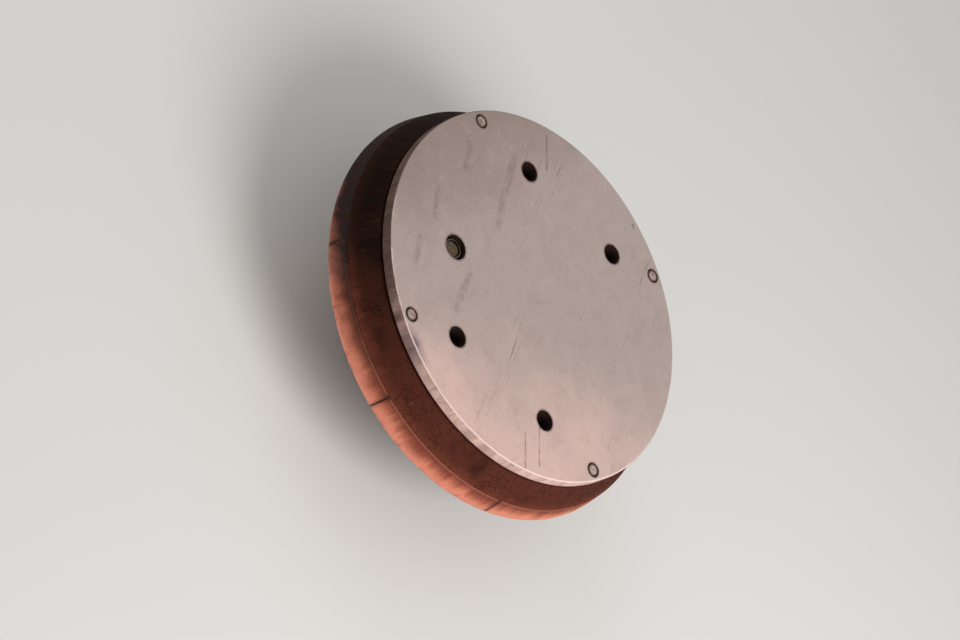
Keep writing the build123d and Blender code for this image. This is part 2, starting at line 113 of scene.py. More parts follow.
# What the threaded inserts keep clear of on the deck, and the reach where its rim begins
CLEAR_OF_POST = 0.042
CLEAR_OF_PORT = 0.038
CLEAR_OF_CAN = 0.010
CLEAR_OF_BOX = 0.008
DECK_RIM_REACH = 0.385

# Heads of fasteners: radius and height
RIB_RIVET = (0.0024, 0.0013)
LIP_RIVET = (0.0020, 0.0014)
FLANGE_BOLT = (0.0035, 0.0040)
BOX_BOLT = (0.0035, 0.0045)
POST_SCREW = (0.0045, 0.0045)
CAN_SCREW = (0.0034, 0.0032)
LID_SCREW = (0.0026, 0.0022)
BRACKET_SCREW = (0.0040, 0.0040)

# Profiles of turned pieces: radius and height of each corner
INSERT_RING = ((0.0065, 0), (0.0062, 0.0003), (0.0026, 0.0003), (0.0024, 0.0001))
INSERT_BORE = ((0.0024, 0.0001), (0, 0.0001))
PIN = ((0.0009, 0), (0.0009, 0.0024), (0.0005, 0.0031), (0, 0.0033))
PLUG_COLLAR = ((0.009, 0), (0.0106, 0), (0.0112, 0.0006), (0.0112, 0.005), (0.0106, 0.0056), (0.009, 0.0056))
STRAP_EYE = ((0.0050, 0), (0.0085, 0), (0.0085, 0.0008), (0.0070, 0.0014), (0.0050, 0.0010), (0.0050, 0))

# Rings of pins in the connector: reach and number
PIN_RINGS = ((0.0, 1), (0.0042, 6), (0.0084, 12), (0.0124, 18))
# Gripping rib of a plug's collar: place on the collar, and size
COLLAR_RIB_PLACE = (0.0113, 0, 0.0028)
COLLAR_RIB_SIZE = (0.0007, 0.0009, 0.0044)

# The bag's body before it swells: gaps to the bottom and top of the pack's box, and size of its mesh
BAG_GAP_BELOW = 0.004
BAG_GAP_ABOVE = 0.0145
BAG_MESH_SIZE = 0.006

# The bag's flaps, hems, straps and stitches. A lift is the height above the bag's top. The flaps' edge
# lies in from the pack's, and the other insets are measured from the flaps' edge.
FLAP_EDGE_INSET = 0.016
FLAP_START = 0.010
FLAP_HALF_ANGLE = math.radians(50)
FLAP_LIFT = 0.0007
UPPER_FLAP_LIFT = 0.0009
FLAP_THICKNESS = 0.0010
HEM_ANGLE = math.radians(47)
HEM_START = 0.016
HEM_END_INSET = 0.003
HEM_HALF_WIDTH = 0.0060
HEM_SEAM = 0.0045
HEM_LIFT = 0.0027
HEM_SEAM_LIFT = 0.0040
STRAP_OVERHANG = 0.004
STRAP_HALF_WIDTH = 0.013
STRAP_SEAM = 0.0100
STRAP_SEAM_INSET = 0.002
STRAP_SEAM_FAR_INSET = 0.040
STRAP_LIFT = 0.0036
UPPER_STRAP_LIFT = 0.0013
STRAP_SEAM_LIFT = 0.0051
WEBBING_THICKNESS = 0.0012
RIBBON_STEP = 0.006
EYE_LIFT = 0.0061
STITCH_PITCH = 0.0042
STITCH_SIZE = (0.0027, 0.0008, 0.0006)

# Edges sharper than this many degrees stay sharp
PIECE_CREASE = 35
BAG_CREASE = 50

# The floor's radius, and how far it lies under the capsule, in metres
FLOOR_RADIUS = 60
FLOOR_GAP = 0.0003
# Width of the camera's sensor, in millimetres
SENSOR_WIDTH = 36

# Directions across the cover: the side painted lighter as glow light, and the side painted darker as shade
GLOW_LIGHT_DIRECTION = (0.94, 0.34)
PAINTED_SHADE_DIRECTION = (-0.50, -0.87)

# Heights on the heat shield where soot and char are full, and where they end
SOOT_FULL_Z = 0.150
SOOT_END_Z = 0.178
CHAR_FULL_Z = 0.166
CHAR_END_Z = 0.224

# Scored lines on the aft cover: start, end, half width, fade and strength
SCORED_LINES = (
    ((0.3103, 0.1018), (0.3893, 0.1377), 0.0008, 0.0022, 0.55),
    ((0.2717, 0.1283), (0.3514, 0.1642), 0.0008, 0.0022, 0.50),
    ((-0.3653, -0.1314), (-0.2900, -0.0976), 0.0009, 0.0024, 0.55),
)
# Smudges on the aft cover, in the same columns
SMUDGES = (
    ((-0.2472, -0.1830), (-0.1364, -0.1646), 0.0020, 0.0130, 0.46),
    ((-0.1520, -0.1725), (-0.0663, -0.1530), 0.0020, 0.0110, 0.46),
    ((-0.0200, -0.3160), (0.0450, -0.2990), 0.0020, 0.0120, 0.40),
    ((0.1180, -0.3080), (0.1740, -0.2970), 0.0020, 0.0110, 0.42),
    ((0.0951, -0.1690), (0.1949, -0.1640), 0.0020, 0.0120, 0.46),
    ((-0.1800, -0.2940), (-0.1150, -0.2790), 0.0020, 0.0120, 0.38),
    ((-0.3600, 0.1590), (-0.3560, 0.1604), 0.0020, 0.0050, 0.70),
)
# Scorched stretch of the rim: its middle, how far it reaches and where it is darkest
RIM_SCORCH_MIDDLE = (0.3378, -0.2136, 0.0)
RIM_SCORCH_REACH = 0.062
RIM_SCORCH_CORE = 0.012


def tone(red, green, blue):
    """The linear colour of an sRGB one that is given from 0 to 255."""
    shares = [channel / 255 for channel in (red, green, blue)]
    return tuple(
        share / 12.92 if share <= 0.04045 else ((share + 0.055) / 1.055) ** 2.4
        for share in shares
    )


class CapsuleCoverLook(bpy.types.PropertyGroup):
    """Colours and wear of the aft cover"""

    insulation: bpy.props.FloatVectorProperty(
        name="Insulation", description="Main colour of the cover's insulation",
        subtype="COLOR", size=3, min=0, max=1, default=tone(176, 159, 153))
    # Colour painted in the post and port bores: painted shade
    soot: bpy.props.FloatVectorProperty(
        name="Soot", description="Colour of the charred bores",
        subtype="COLOR", size=3, min=0, max=1, default=tone(44, 27, 21))
    # Pink tint painted on the glow side of the cover: painted glow light
    glow_tint: bpy.props.FloatVectorProperty(
        name="Warm side", description="Colour of the side that stayed clean and warm",
        subtype="COLOR", size=3, min=0, max=1, default=tone(218, 184, 175))
    wear: bpy.props.FloatProperty(
        name="Wear", description="Strength of scuffs, smudges and scored lines",
        subtype="FACTOR", min=0, max=1, default=1.0)


class CapsuleShieldLook(bpy.types.PropertyGroup):
    """Colours of the heat shield and the side wall"""

    # Its default is lightened towards the glow on the band: partly painted glow light
    phenolic: bpy.props.FloatVectorProperty(
        name="Edge band", description="Colour of the lightly heated edge band",
        subtype="COLOR", size=3, min=0, max=1, default=tone(206, 120, 91))
    char: bpy.props.FloatVectorProperty(
        name="Char", description="Colour of the charred tiles on the cone",
        subtype="COLOR", size=3, min=0, max=1, default=tone(60, 44, 38))
    wall: bpy.props.FloatVectorProperty(
        name="Side wall", description="Colour of the charred side wall",
        subtype="COLOR", size=3, min=0, max=1, default=tone(23, 10, 6))


class CapsuleBayLook(bpy.types.PropertyGroup):
    """Colours of what lies under the cover, and the shape of the parachute bag"""

    aluminium: bpy.props.FloatVectorProperty(
        name="Aluminium", description="Colour of the bare aluminium can",
        subtype="COLOR", size=3, min=0, max=1, default=tone(196, 196, 192))
    chromate: bpy.props.FloatVectorProperty(
        name="Chromated frame", description="Colour of the frame's pale gold surface treatment",
        subtype="COLOR", size=3, min=0, max=1, default=tone(190, 170, 116))
    fabric: bpy.props.FloatVectorProperty(
        name="Pack fabric", description="Colour of the parachute bag",
        subtype="COLOR", size=3, min=0, max=1, default=tone(205, 196, 172))
    bag_inset: bpy.props.FloatProperty(
        name="Bag inset", description="How much smaller the bag is before it swells",
        subtype="DISTANCE", unit="LENGTH", min=0.001, max=0.02, default=0.006)
    swell: bpy.props.FloatProperty(
        name="Bag swell", description="Most that a point of the bag may move as it swells",
        subtype="DISTANCE", unit="LENGTH", min=0.001, max=0.02, default=0.0055)


class CapsuleStageLook(bpy.types.PropertyGroup):
    """Camera, lamps and floor"""

    azimuth: bpy.props.FloatProperty(
        name="Camera azimuth", description="Angle of the camera round the axis, from +X",
        subtype="ANGLE", default=math.radians(-31.12))
    elevation: bpy.props.FloatProperty(
        name="Camera elevation", description="Angle of the camera above the floor",
        subtype="ANGLE", default=math.radians(41.31))
    roll: bpy.props.FloatProperty(
        name="Camera roll", description="Turn of the picture round the line of sight",
        subtype="ANGLE", default=math.radians(65.78))
    distance: bpy.props.FloatProperty(
        name="Camera distance", description="From the camera to the point that it looks at",
        subtype="DISTANCE", unit="LENGTH", min=1, max=50, default=7.25)
    aim_height: bpy.props.FloatProperty(
        name="Aim height", description="Height of the point on the axis that the camera looks at",
        subtype="DISTANCE", unit="LENGTH", min=0, max=1, default=0.19)
    lens: bpy.props.FloatProperty(
        name="Lens", description="Focal length in millimetres", min=20, max=300, default=128)
    floor: bpy.props.FloatVectorProperty(
        name="Floor", description="Colour of the floor",
        subtype="COLOR", size=3, min=0, max=1, default=tone(226, 225, 222))
    key_power: bpy.props.FloatProperty(
        name="Key light", description="Power of the large soft lamp",
        subtype="POWER", unit="POWER", min=0, max=5000, default=150)
    fill_power: bpy.props.FloatProperty(
        name="Fill light", description="Power of the second soft lamp",
        subtype="POWER", unit="POWER", min=0, max=5000, default=40)
    under_power: bpy.props.FloatProperty(
        name="Light from below", description="Power of the soft lamp under the floor",
        subtype="POWER", unit="POWER", min=0, max=5000, default=45)
    sky: bpy.props.FloatProperty(
        name="Surrounding light", description="Strength of the even light from all sides",
        min=0, max=2, default=0.45)


class Wire:
    """What a node passes on. Plain arithmetic on it adds Math nodes."""

    def __init__(self, finish, socket):
        self.finish, self.socket = finish, socket

    def __add__(self, other):
        return self.finish.math("ADD", self, other)

    def __sub__(self, other):
        return self.finish.math("SUBTRACT", self, other)

    def __rsub__(self, other):
        return self.finish.math("SUBTRACT", other, self)

    def __mul__(self, other):
        return self.finish.math("MULTIPLY", self, other)

    def __abs__(self):
        return self.finish.math("ABSOLUTE", self)

    def ease(self, start, end, low=0.0, high=1.0):
        """The number eased from low at start to high at end, and held past them."""
        return self.finish.add(
            "MapRange", self, start, end, low, high, interpolation_type="SMOOTHSTEP", clamp=True)


class Finish:
    """One material, with short calls that build its nodes."""

    def __init__(self, name):
        self.material = bpy.data.materials.new(name)
        self.material.use_nodes = True
        tree = self.material.node_tree
        self.nodes, self.links = tree.nodes, tree.links
        self.shader = self.nodes["Principled BSDF"]
        self.place = self.add("TexCoord", out="Object")

    def feed(self, socket, value):
        """Link a socket to a wire, or give it a number or colour."""
        if isinstance(value, Wire):
            self.links.new(value.socket, socket)
        elif socket.type == "RGBA" and len(value) == 3:
            socket.default_value = (*value, 1)
        else:
            socket.default_value = value

    def node(self, kind, *inputs, named=(), **settings):
        """A new node of this kind with its inputs in order, named inputs and settings."""
        node = self.nodes.new("ShaderNode" + kind)
        for setting, value in settings.items():
            setattr(node, setting, value)
        for socket, value in zip(node.inputs, inputs):
            self.feed(socket, value)
        for socket, value in dict(named).items():
            self.feed(node.inputs[socket], value)
        return node

    def add(self, kind, *inputs, out=0, **rest):
        """A new node like that, as the wire from one of its outputs."""
        return Wire(self, self.node(kind, *inputs, **rest).outputs[out])

    def math(self, operation, first, second=0.0, clamp=False):
        """A number worked out from one or two others."""
        return self.add("Math", first, second, operation=operation, use_clamp=clamp)

    def vector(self, operation, first, second=(0, 0, 0)):
        """A vector worked out from one or two others."""
        return self.add("VectorMath", first, second, operation=operation)

    def measure(self, operation, first, second=(0, 0, 0)):
        """A number worked out from one or two vectors."""
        return self.add("VectorMath", first, second, out="Value", operation=operation)

    def scaled(self, vector, by):
        """A vector made longer or shorter."""
        return self.add("VectorMath", vector, named={"Scale": by}, operation="SCALE")

    def stretched(self, factors):
        """The place scaled along each axis."""
        return self.vector("MULTIPLY", self.place, factors)

    def flat(self):
        """The place with its height left out."""
        return self.stretched((1, 1, 0))

    def parts(self, vector):
        """The three numbers of a vector."""
        return [Wire(self, socket) for socket in self.node("SeparateXYZ", vector).outputs]

    def around(self):
        """Reach from the axis, angle round it and height."""
        x, y, height = self.parts(self.place)
        return self.measure("LENGTH", self.flat()), self.math("ARCTAN2", y, x), height

    def noise(self, scale, detail=4.0, rough=0.55, place=None, warp=0.0):
        """Soft noise from 0 to 1, mostly near a half."""
        return self.add("TexNoise", named={
            "Vector": place or self.place,
            "Scale": scale, "Detail": detail, "Roughness": rough, "Distortion": warp,
        })

    def cells(self, scale, feature="F1", place=None):
        """Distance in a cell pattern."""
        named = {"Vector": place or self.place, "Scale": scale}
        return self.add("TexVoronoi", out="Distance", named=named, feature=feature)

    def streaks(self, fineness, by_reach, by_height, detail, rough, warp):
        """Noise in streaks that run up the surface: fine round the axis, with no seam."""
        reach, _, height = self.around()
        rise = self.add("CombineXYZ", 0.0, 0.0, reach * by_reach + height * by_height)
        outwards = self.scaled(self.vector("NORMALIZE", self.flat()), fineness)
        return self.noise(1.0, detail, rough, self.vector("ADD", outwards, rise), warp)

    def mix(self, share, first, second):
        """One colour laid over another."""
        return self.add("MixRGB", share, first, second)

    def layered(self, colour, *rows):
        """Colours laid over a first one. Each row: pattern, its start and end, most it covers, colour."""
        for pattern, start, end, most, over in rows:
            colour = self.mix(pattern.ease(start, end, 0.0, most), colour, over)
        return colour

    def most(self, values):
        """The largest of several values."""
        found = values[0]
        for value in values[1:]:
            found = self.math("MAXIMUM", found, value)
        return found

    def stroke(self, start, end, half_width, fade, strength):
        """A soft line on a flat face between two points, from 0 to its strength."""
        span = Vector((*end, 0)) - Vector((*start, 0))
        offset = self.vector("SUBTRACT", self.flat(), (*start, 0))
        along = self.measure("DOT_PRODUCT", offset, span / span.length_squared)
        nearest = self.scaled(tuple(span), self.math("MULTIPLY", along, 1.0, clamp=True))
        return self.measure("DISTANCE", offset, nearest).ease(half_width, half_width + fade, strength, 0.0)

    def towards(self, direction):
        """How far a place lies in this direction, as a share of the cover's radius."""
        x, y = direction
        return self.measure("DOT_PRODUCT", self.place, (x / COVER_RADIUS, y / COVER_RADIUS, 0))

    def near_posts(self):
        """Distance on the flat from the nearest of the four post holes."""
        folded = self.vector("ABSOLUTE", self.flat())
        return self.measure("DISTANCE", folded, (abs(POSTS[0].x), abs(POSTS[0].y), 0))

    def near_port(self):
        """Distance on the flat from the middle of the umbilical port."""
        return self.measure("DISTANCE", self.flat(), (PORT.x, PORT.y, 0))

    def near_plugs(self):
        """Distance on the flat from the nearest of the four plugs, which lie a quarter turn apart."""
        back = {"Angle": -PLUG_START_ANGLE}
        turned_back = self.add("VectorRotate", self.place, named=back, rotation_type="Z_AXIS")
        x, y, _ = self.parts(self.vector("ABSOLUTE", turned_back))
        folded = self.add("CombineXYZ", self.math("MAXIMUM", x, y), self.math("MINIMUM", x, y), 0.0)
        return self.measure("DISTANCE", folded, (PLUG_RING_RADIUS, 0, 0))

    def relief(self, *rows):
        """A normal with patterns on one another. Each row: pattern, its depth in metres, strength."""
        below = {}
        for height, depth, strength in rows:
            named = {"Height": height, "Distance": depth, "Strength": strength, **below}
            below = {"Normal": self.add("Bump", named=named)}
        return below["Normal"]

    def done(self, colour, roughness, normal, metallic=0.0, specular=0.35):
        """Set the surface, and give the material."""
        for socket, value in (
            ("Base Color", colour), ("Roughness", roughness), ("Normal", normal),
            ("Metallic", metallic), ("Specular IOR Level", specular),
        ):
            self.feed(self.shader.inputs[socket], value)
        return self.material


def insulation_finish(look):
    """Pale insulation of the aft cover, with scuffs and scorch marks, painted glow light and painted shade,
    and bores painted dark as shade.
    """
    finish = Finish("scorched insulation")
    clouds = finish.noise(5.0, 3, 0.5)
    patches = finish.noise(24.0, 7, 0.62, warp=0.6)
    grit = finish.noise(330.0, 3, 0.6)
    reach, _, height = finish.around()
    glow_side = finish.towards(GLOW_LIGHT_DIRECTION)

    # Painted glow light, lighter and pinker on the glow side, and painted shade, darker on the far side, then
    # mottling, brown clouds and fine grit
    colour = finish.layered(
        look.insulation,
        (glow_side + (clouds - 0.5) * 1.1, 0.10, 1.00, 0.95, look.glow_tint),
        (finish.towards(PAINTED_SHADE_DIRECTION) + (clouds - 0.5) * 0.7, 0.34, 1.05, 0.85, tone(144, 126, 118)),
        (patches, 0.46, 0.72, 0.20, tone(148, 128, 119)),
        (patches, 0.46, 0.28, 0.18, tone(201, 186, 180)),
        (grit, 0.54, 0.72, 0.40, tone(120, 102, 94)),
        (grit, 0.44, 0.30, 0.30, tone(222, 210, 205)),
    )

    # Short steep scuffs in loose groups
    scratches = finish.noise(1.0, 2, 0.5, finish.stretched((9, 340, 1)))
    groups = finish.noise(7.0, 2).ease(0.52, 0.66)
    scuffs = scratches.ease(0.62, 0.70, 0.0, 0.42 * look.wear) * groups
    colour = finish.mix(scuffs, colour, tone(94, 76, 70))

    # Scored lines and smudges, both broken up
    broken = finish.noise(60.0, 4).ease(0.36, 0.56, 0.35, 1.0)
    drawn = finish.noise(1.0, 4, 0.65, finish.stretched((20, 210, 1)), 0.4).ease(0.36, 0.62, 0.45, 1.0)
    marks = finish.most([finish.stroke(*row) for row in SCORED_LINES]) * broken
    smears = finish.most([finish.stroke(*row) for row in SMUDGES]) * (drawn * broken)
    colour = finish.mix(marks * look.wear, colour, tone(72, 54, 50))
    colour = finish.mix(smears * look.wear, colour, tone(112, 95, 90))

    # Scorched stretch of the rim, with a faint blue-grey cast
    scorch = finish.measure("DISTANCE", finish.flat(), RIM_SCORCH_MIDDLE)
    scorched = scorch.ease(RIM_SCORCH_REACH, RIM_SCORCH_CORE, 0.0, 0.90)
    scorched = scorched * reach.ease(COVER_RADIUS - 0.030, COVER_RADIUS - 0.002)
    scorched = scorched * patches.ease(0.30, 0.60, 0.4, 1.0)
    colour = finish.mix(scorched * look.wear, colour, tone(106, 88, 98))

    # Soot round each hole: distance from the hole, its radius, how far the soot goes on, its strength
    holes = (
        (finish.near_posts(), POST_HOLE_RADIUS, 0.003, 0.85),
        (finish.near_port(), PORT_RADIUS, 0.003, 0.80),
        (finish.near_plugs(), PLUG_BORE_RADIUS, 0.001, 0.45),
    )
    ragged = finish.noise(140.0, 3) * 0.006
    halo = finish.most([
        (gap - ragged).ease(radius - 0.003, radius + beyond, strength, 0.0)
        for gap, radius, beyond, strength in holes
    ])
    colour = finish.mix(halo, colour, tone(104, 82, 74))
    # The bore walls are painted dark as shade: near black in the post and port bores, brown in the plug bores
    posts, port, plugs = [gap.ease(radius + 0.0002, radius + 0.0006, 1.0, 0.0) for gap, radius, _, _ in holes]
    colour = finish.mix(finish.most([posts, port]), colour, look.soot)
    colour = finish.mix(plugs, colour, tone(112, 90, 82))

    # The rim's side has a brown foot. It is painted dark brown as shade away from the glow, and pale pink as
    # glow light on the glow side
    runs = finish.streaks(16, 0, 9, 5, 0.6, 0.8)
    clean = finish.layered(
        tone(226, 190, 180),
        (runs, 0.36, 0.72, 1.0, tone(180, 146, 136)),
        (grit, 0.50, 0.70, 0.4, tone(140, 110, 101)),
        (height + runs * 0.010, FACE_Z - 0.014, FACE_Z - 0.026, 0.65, tone(120, 82, 72)),
    )
    # Painted shade: dark brown rim side, turning to the pale glow-lit colour on the glow side
    side = finish.layered(
        tone(98, 74, 65),
        (runs, 0.36, 0.72, 1.0, tone(64, 45, 38)),
        (grit, 0.54, 0.70, 0.4, tone(128, 104, 95)),
        (glow_side + (runs - 0.5) * 1.2, 0.26, 0.80, 1.0, clean),
        (scorch, RIM_SCORCH_REACH, RIM_SCORCH_CORE, 0.70, tone(112, 86, 90)),
    )
    on_side = reach.ease(COVER_RADIUS - 0.0016, COVER_RADIUS - 0.0006)
    colour = finish.mix(on_side, colour, side)

    # The pale edge between face and side: worn in patches, and a painted highlight that is stronger on the
    # glow side
    on_edge = reach.ease(COVER_RADIUS - 0.0045, COVER_RADIUS - 0.0020) * (1.0 - on_side)
    worn = (finish.noise(19.0, 5, 0.7) + glow_side * 0.30).ease(0.44, 0.76, 0.06, 0.92)
    colour = finish.mix(on_edge * worn, colour, tone(242, 219, 211))

    normal = finish.relief(
        (patches, 0.0012, 0.45),
        (grit, 0.0006, 0.50),
        (finish.cells(210.0).ease(0.0, 0.35), 0.0004, 0.35),
        (1.0 - (marks + scuffs), 0.0008, 0.6),
    )
    return finish.done(colour, patches.ease(0.25, 0.75, 0.70, 0.92), normal, specular=0.25)


def plug_finish():
    """Plugs of the same insulation, painted darker at their caps' rims and in their grooves as shade."""
    finish = Finish("plug insulation")
    patches = finish.noise(60.0, 6, 0.6)
    grit = finish.noise(420.0, 2)
    gap = finish.near_plugs()
    ragged_gap = gap + finish.noise(240.0, 3) * 0.0030
    colour = finish.layered(
        tone(186, 164, 155),
        (patches, 0.35, 0.68, 1.0, tone(136, 114, 106)),
        (grit, 0.52, 0.70, 0.5, tone(104, 84, 76)),
        # Painted shade: a dark ragged rim on each cap, and a darker groove
        (ragged_gap, PLUG_CAP_RADIUS - 0.0025, PLUG_CAP_RADIUS + 0.0010, 0.9, tone(98, 76, 68)),
        (gap, PLUG_CAP_RADIUS - 0.0001, PLUG_CAP_RADIUS + 0.0003, 1.0, tone(128, 104, 96)),
        (gap, 0.0026, 0.0016, 0.55, tone(92, 72, 65)),
    )
    normal = finish.relief((patches, 0.0012, 0.6), (grit, 0.0005, 0.6))
    return finish.done(colour, patches.ease(0.3, 0.7, 0.72, 0.9), normal, specular=0.25)


def wall_finish(look):
    """Charred side wall: near black, with painted glow light that makes it redder and lighter at its foot and
    on the glow side.
    """
    finish = Finish("charred wall")
    height = finish.around()[2]
    glow_side = finish.towards(GLOW_LIGHT_DIRECTION)
    runs = finish.streaks(20, 0, 6, 6, 0.62, 0.9)
    fine = finish.streaks(90, 0, 26, 4, 0.6, 0.4)
    blotches = finish.noise(9.0, 5, 0.6)
    grain = finish.noise(300.0, 3, 0.6)
    colour = finish.layered(
        look.wall,
        (runs, 0.36, 0.70, 1.0, tone(43, 22, 16)),
        # Painted glow light: lighter brown on the glow side
        (glow_side + (blotches - 0.5) * 1.4, -0.20, 1.05, 0.72, tone(104, 53, 40)),
        (blotches, 0.50, 0.72, 0.60, tone(20, 11, 9)),
    )
    # Painted glow light: redder at the foot, on the glow side
    glow_lit_foot = (height + runs * 0.040).ease(BAND_TOP_Z + 0.046, BAND_TOP_Z + 0.008, 0.0, 0.90)
    glow_lit_foot = glow_lit_foot * glow_side.ease(-0.10, 0.55, 0.15, 1.0)
    colour = finish.layered(
        finish.mix(glow_lit_foot, colour, tone(122, 62, 47)),
        (fine, 0.60, 0.76, 0.45, tone(104, 74, 64)),
        (grain, 0.52, 0.72, 0.5, tone(14, 8, 6)),
    )

    # Uneven cracks in the char, in patches
    wander = finish.scaled((1.0, -1.0, 0.6), finish.noise(34.0, 4, 0.6) * 0.045)
    from_crack = finish.cells(58.0, "DISTANCE_TO_EDGE", finish.vector("ADD", finish.place, wander))
    sound = finish.most([(from_crack + grain * 0.05).ease(0.024, 0.092), blotches.ease(0.45, 0.60)])
    colour = finish.mix(finish.math("SUBTRACT", 0.72, sound, clamp=True), colour, tone(14, 8, 6))
    normal = finish.relief((sound, 0.0008, 0.6), (runs, 0.0024, 0.5), (grain, 0.0005, 0.5))
    return finish.done(colour, runs.ease(0.3, 0.7, 0.72, 0.94), normal, specular=0.06)


def shield_finish(look):
    """Heat shield tiles: scorched phenolic on the edge band, turning to char over the cone and nose."""
    finish = Finish("charred tiles")
    reach, angle, height = finish.around()
    glow_side = finish.towards(GLOW_LIGHT_DIRECTION)
    flow = finish.streaks(9, 5, 3, 7, 0.62, 1.2)
    fine = finish.streaks(46, 20, 14, 5, 0.65, 0.8)
    blotches = finish.noise(14.0, 6, 0.62, warp=0.6)
    fibre = finish.noise(150.0, 4, 0.65)
    grain = finish.noise(420.0, 3, 0.6)

    # Each tile has its own tint. The outer row lies half a tile round from the inner one.
    outer = finish.math("GREATER_THAN", reach, RING_GAP_RADIUS)
    turns = angle * (TILE_COUNT / math.tau) + outer * 0.5
    own_number = finish.math("FLOOR", turns) + outer * 20
    lot = finish.add("TexWhiteNoise", out="Value", named={"W": own_number}, noise_dimensions="1D")

    # Char on the cone, ashen towards the nose
    burnt = finish.layered(
        look.char,
        (flow, 0.30, 0.70, 1.0, tone(96, 74, 64)),
        (blotches, 0.52, 0.72, 0.6, tone(34, 25, 22)),
        (fine, 0.56, 0.74, 0.50, tone(138, 116, 104)),
    )
    burnt = finish.mix(lot * 0.30, burnt, tone(112, 80, 64))
    burnt = finish.layered(burnt, (reach + flow * 0.12, 0.26, 0.10, 0.45, tone(128, 119, 114)))

    # Scorched phenolic, painted paler towards the shoulder on the glow side as glow light, dark red under the
    # wall, and a pale top edge that is partly wear and partly a painted highlight
    amber = finish.layered(
        look.phenolic,
        (flow, 0.34, 0.68, 1.0, tone(170, 92, 69)),
        (blotches, 0.46, 0.70, 0.50, tone(134, 70, 53)),
        (fine, 0.54, 0.74, 0.45, tone(214, 138, 106)),
    )
    amber = finish.mix(lot * 0.35, amber, tone(206, 128, 98))
    amber = finish.layered(amber, (fibre, 0.50, 0.70, 0.45, tone(120, 62, 46)))
    wavy = height + (flow - 0.5) * 0.030
    # Painted glow light: paler towards the shoulder on the glow side
    pale = wavy.ease(BAND_TOP_Z - 0.018, BAND_TOP_Z - 0.044, 0.0, 0.62)
    pale = pale * glow_side.ease(0.10, 1.00, 0.35, 1.0)
    amber = finish.layered(
        finish.mix(pale, amber, tone(244, 154, 131)),
        (wavy, BAND_TOP_Z - 0.030, BAND_TOP_Z - 0.003, 0.80, tone(106, 46, 35)),
        # A pale top edge: partly wear, partly a painted highlight
        (height, BAND_TOP_Z - 0.004, BAND_TOP_Z - 0.001, 0.22, tone(214, 136, 104)),
    )

    # Tongues of soot rise round the shoulder. The band is painted dark brown as shade away from the glow, and
    # amber as glow light on the glow side and lower down
    tongues = finish.streaks(26, 4, 2.5, 6, 0.66, 1.0)
    sooty = (height + tongues * -0.085).ease(SOOT_END_Z, SOOT_FULL_Z, 0.0, 0.62)
    amber = finish.mix(sooty * tongues.ease(0.46, 0.62), amber, tone(92, 50, 38))
    painted_shade_brown = finish.layered(
        tone(27, 10, 7),
        (flow, 0.34, 0.68, 1.0, tone(42, 17, 12)),
        (fine, 0.56, 0.74, 0.35, tone(88, 46, 35)),
    )
    # Share painted as glow light rather than shade: more on the glow side and lower on the band
    heated = glow_side + ((blotches - 0.5) * 1.2 + flow * 0.3) + (BAND_TOP_Z - height) * 10
    amber = finish.mix(heated.ease(0.25, 1.15), painted_shade_brown, amber)
    line = height + ((flow - 0.5) * 0.10 + (blotches - 0.5) * 0.05)
    colour = finish.mix(line.ease(CHAR_FULL_Z, CHAR_END_Z), burnt, amber)

    # Soot and chips beside the gaps between tiles
    seam = abs(finish.math("SINE", turns * math.pi)) * (2 / TILE_COUNT) * reach
    seam = seam + finish.math("LESS_THAN", reach, NOSE_GAP_RADIUS)
    for ring_radius in (NOSE_PLUG_RADIUS, NOSE_GAP_RADIUS, RING_GAP_RADIUS):
        seam = finish.math("MINIMUM", seam, abs(reach - ring_radius))
    colour = finish.layered(colour, (seam + blotches * 0.016, 0.018, 0.007, 0.62, tone(40, 25, 20)))
    chips = finish.noise(85.0, 5, 0.7).ease(0.60, 0.65) * seam.ease(0.006, 0.003)
    colour = finish.mix(chips * 0.8, colour, tone(176, 142, 120))
    colour = finish.layered(colour, (grain, 0.56, 0.74, 0.40, tone(30, 20, 17)))
    normal = finish.relief(
        (flow, 0.0030, 0.5),
        (blotches, 0.0030, 0.45),
        (finish.cells(95.0).ease(0.05, 0.32), 0.0012, 0.45),
        (fibre, 0.0009, 0.5),
        (grain, 0.0005, 0.5),
    )
    return finish.done(colour, flow.ease(0.3, 0.7, 0.70, 0.92), normal, specular=0.22)


def filler_finish(name):
    """Charred felt and sealant in the gaps between the tiles."""
    finish = Finish(name)
    lumps = finish.noise(120.0, 5, 0.65)
    ash = finish.noise(18.0, 3)
    colour = finish.layered(
        tone(40, 25, 20),
        (lumps, 0.3, 0.7, 1.0, tone(84, 56, 44)),
        (ash, 0.52, 0.70, 0.5, tone(112, 92, 82)),
    )
    normal = finish.relief((lumps, 0.0010, 0.8))
    return finish.done(colour, lumps.ease(0.3, 0.7, 0.8, 0.95), normal, specular=0.15)


def turned_metal(name, colour, roughness, stain):
    """Metal machined round the axis: fine concentric grain, soft stains and handling marks."""
    finish = Finish(name)
    reach, _, height = finish.around()
    grain = finish.noise(1.0, 3, 0.6, finish.add("CombineXYZ", reach * 900, height * 900, 0.0))
    smears = finish.noise(9.0, 5, 0.6)
    prints = finish.noise(48.0, 4, 0.6)
    shade = finish.layered(colour, (smears, 0.36, 0.72, 0.75, stain), (grain, 0.45, 0.75, 0.35, stain))
    dull = prints.ease(0.35, 0.70, roughness - 0.07, roughness + 0.13)
    normal = finish.relief((grain, 0.00010, 0.5), (smears, 0.0006, 0.3))
    return finish.done(shade, dull, normal, metallic=1.0, specular=0.5)


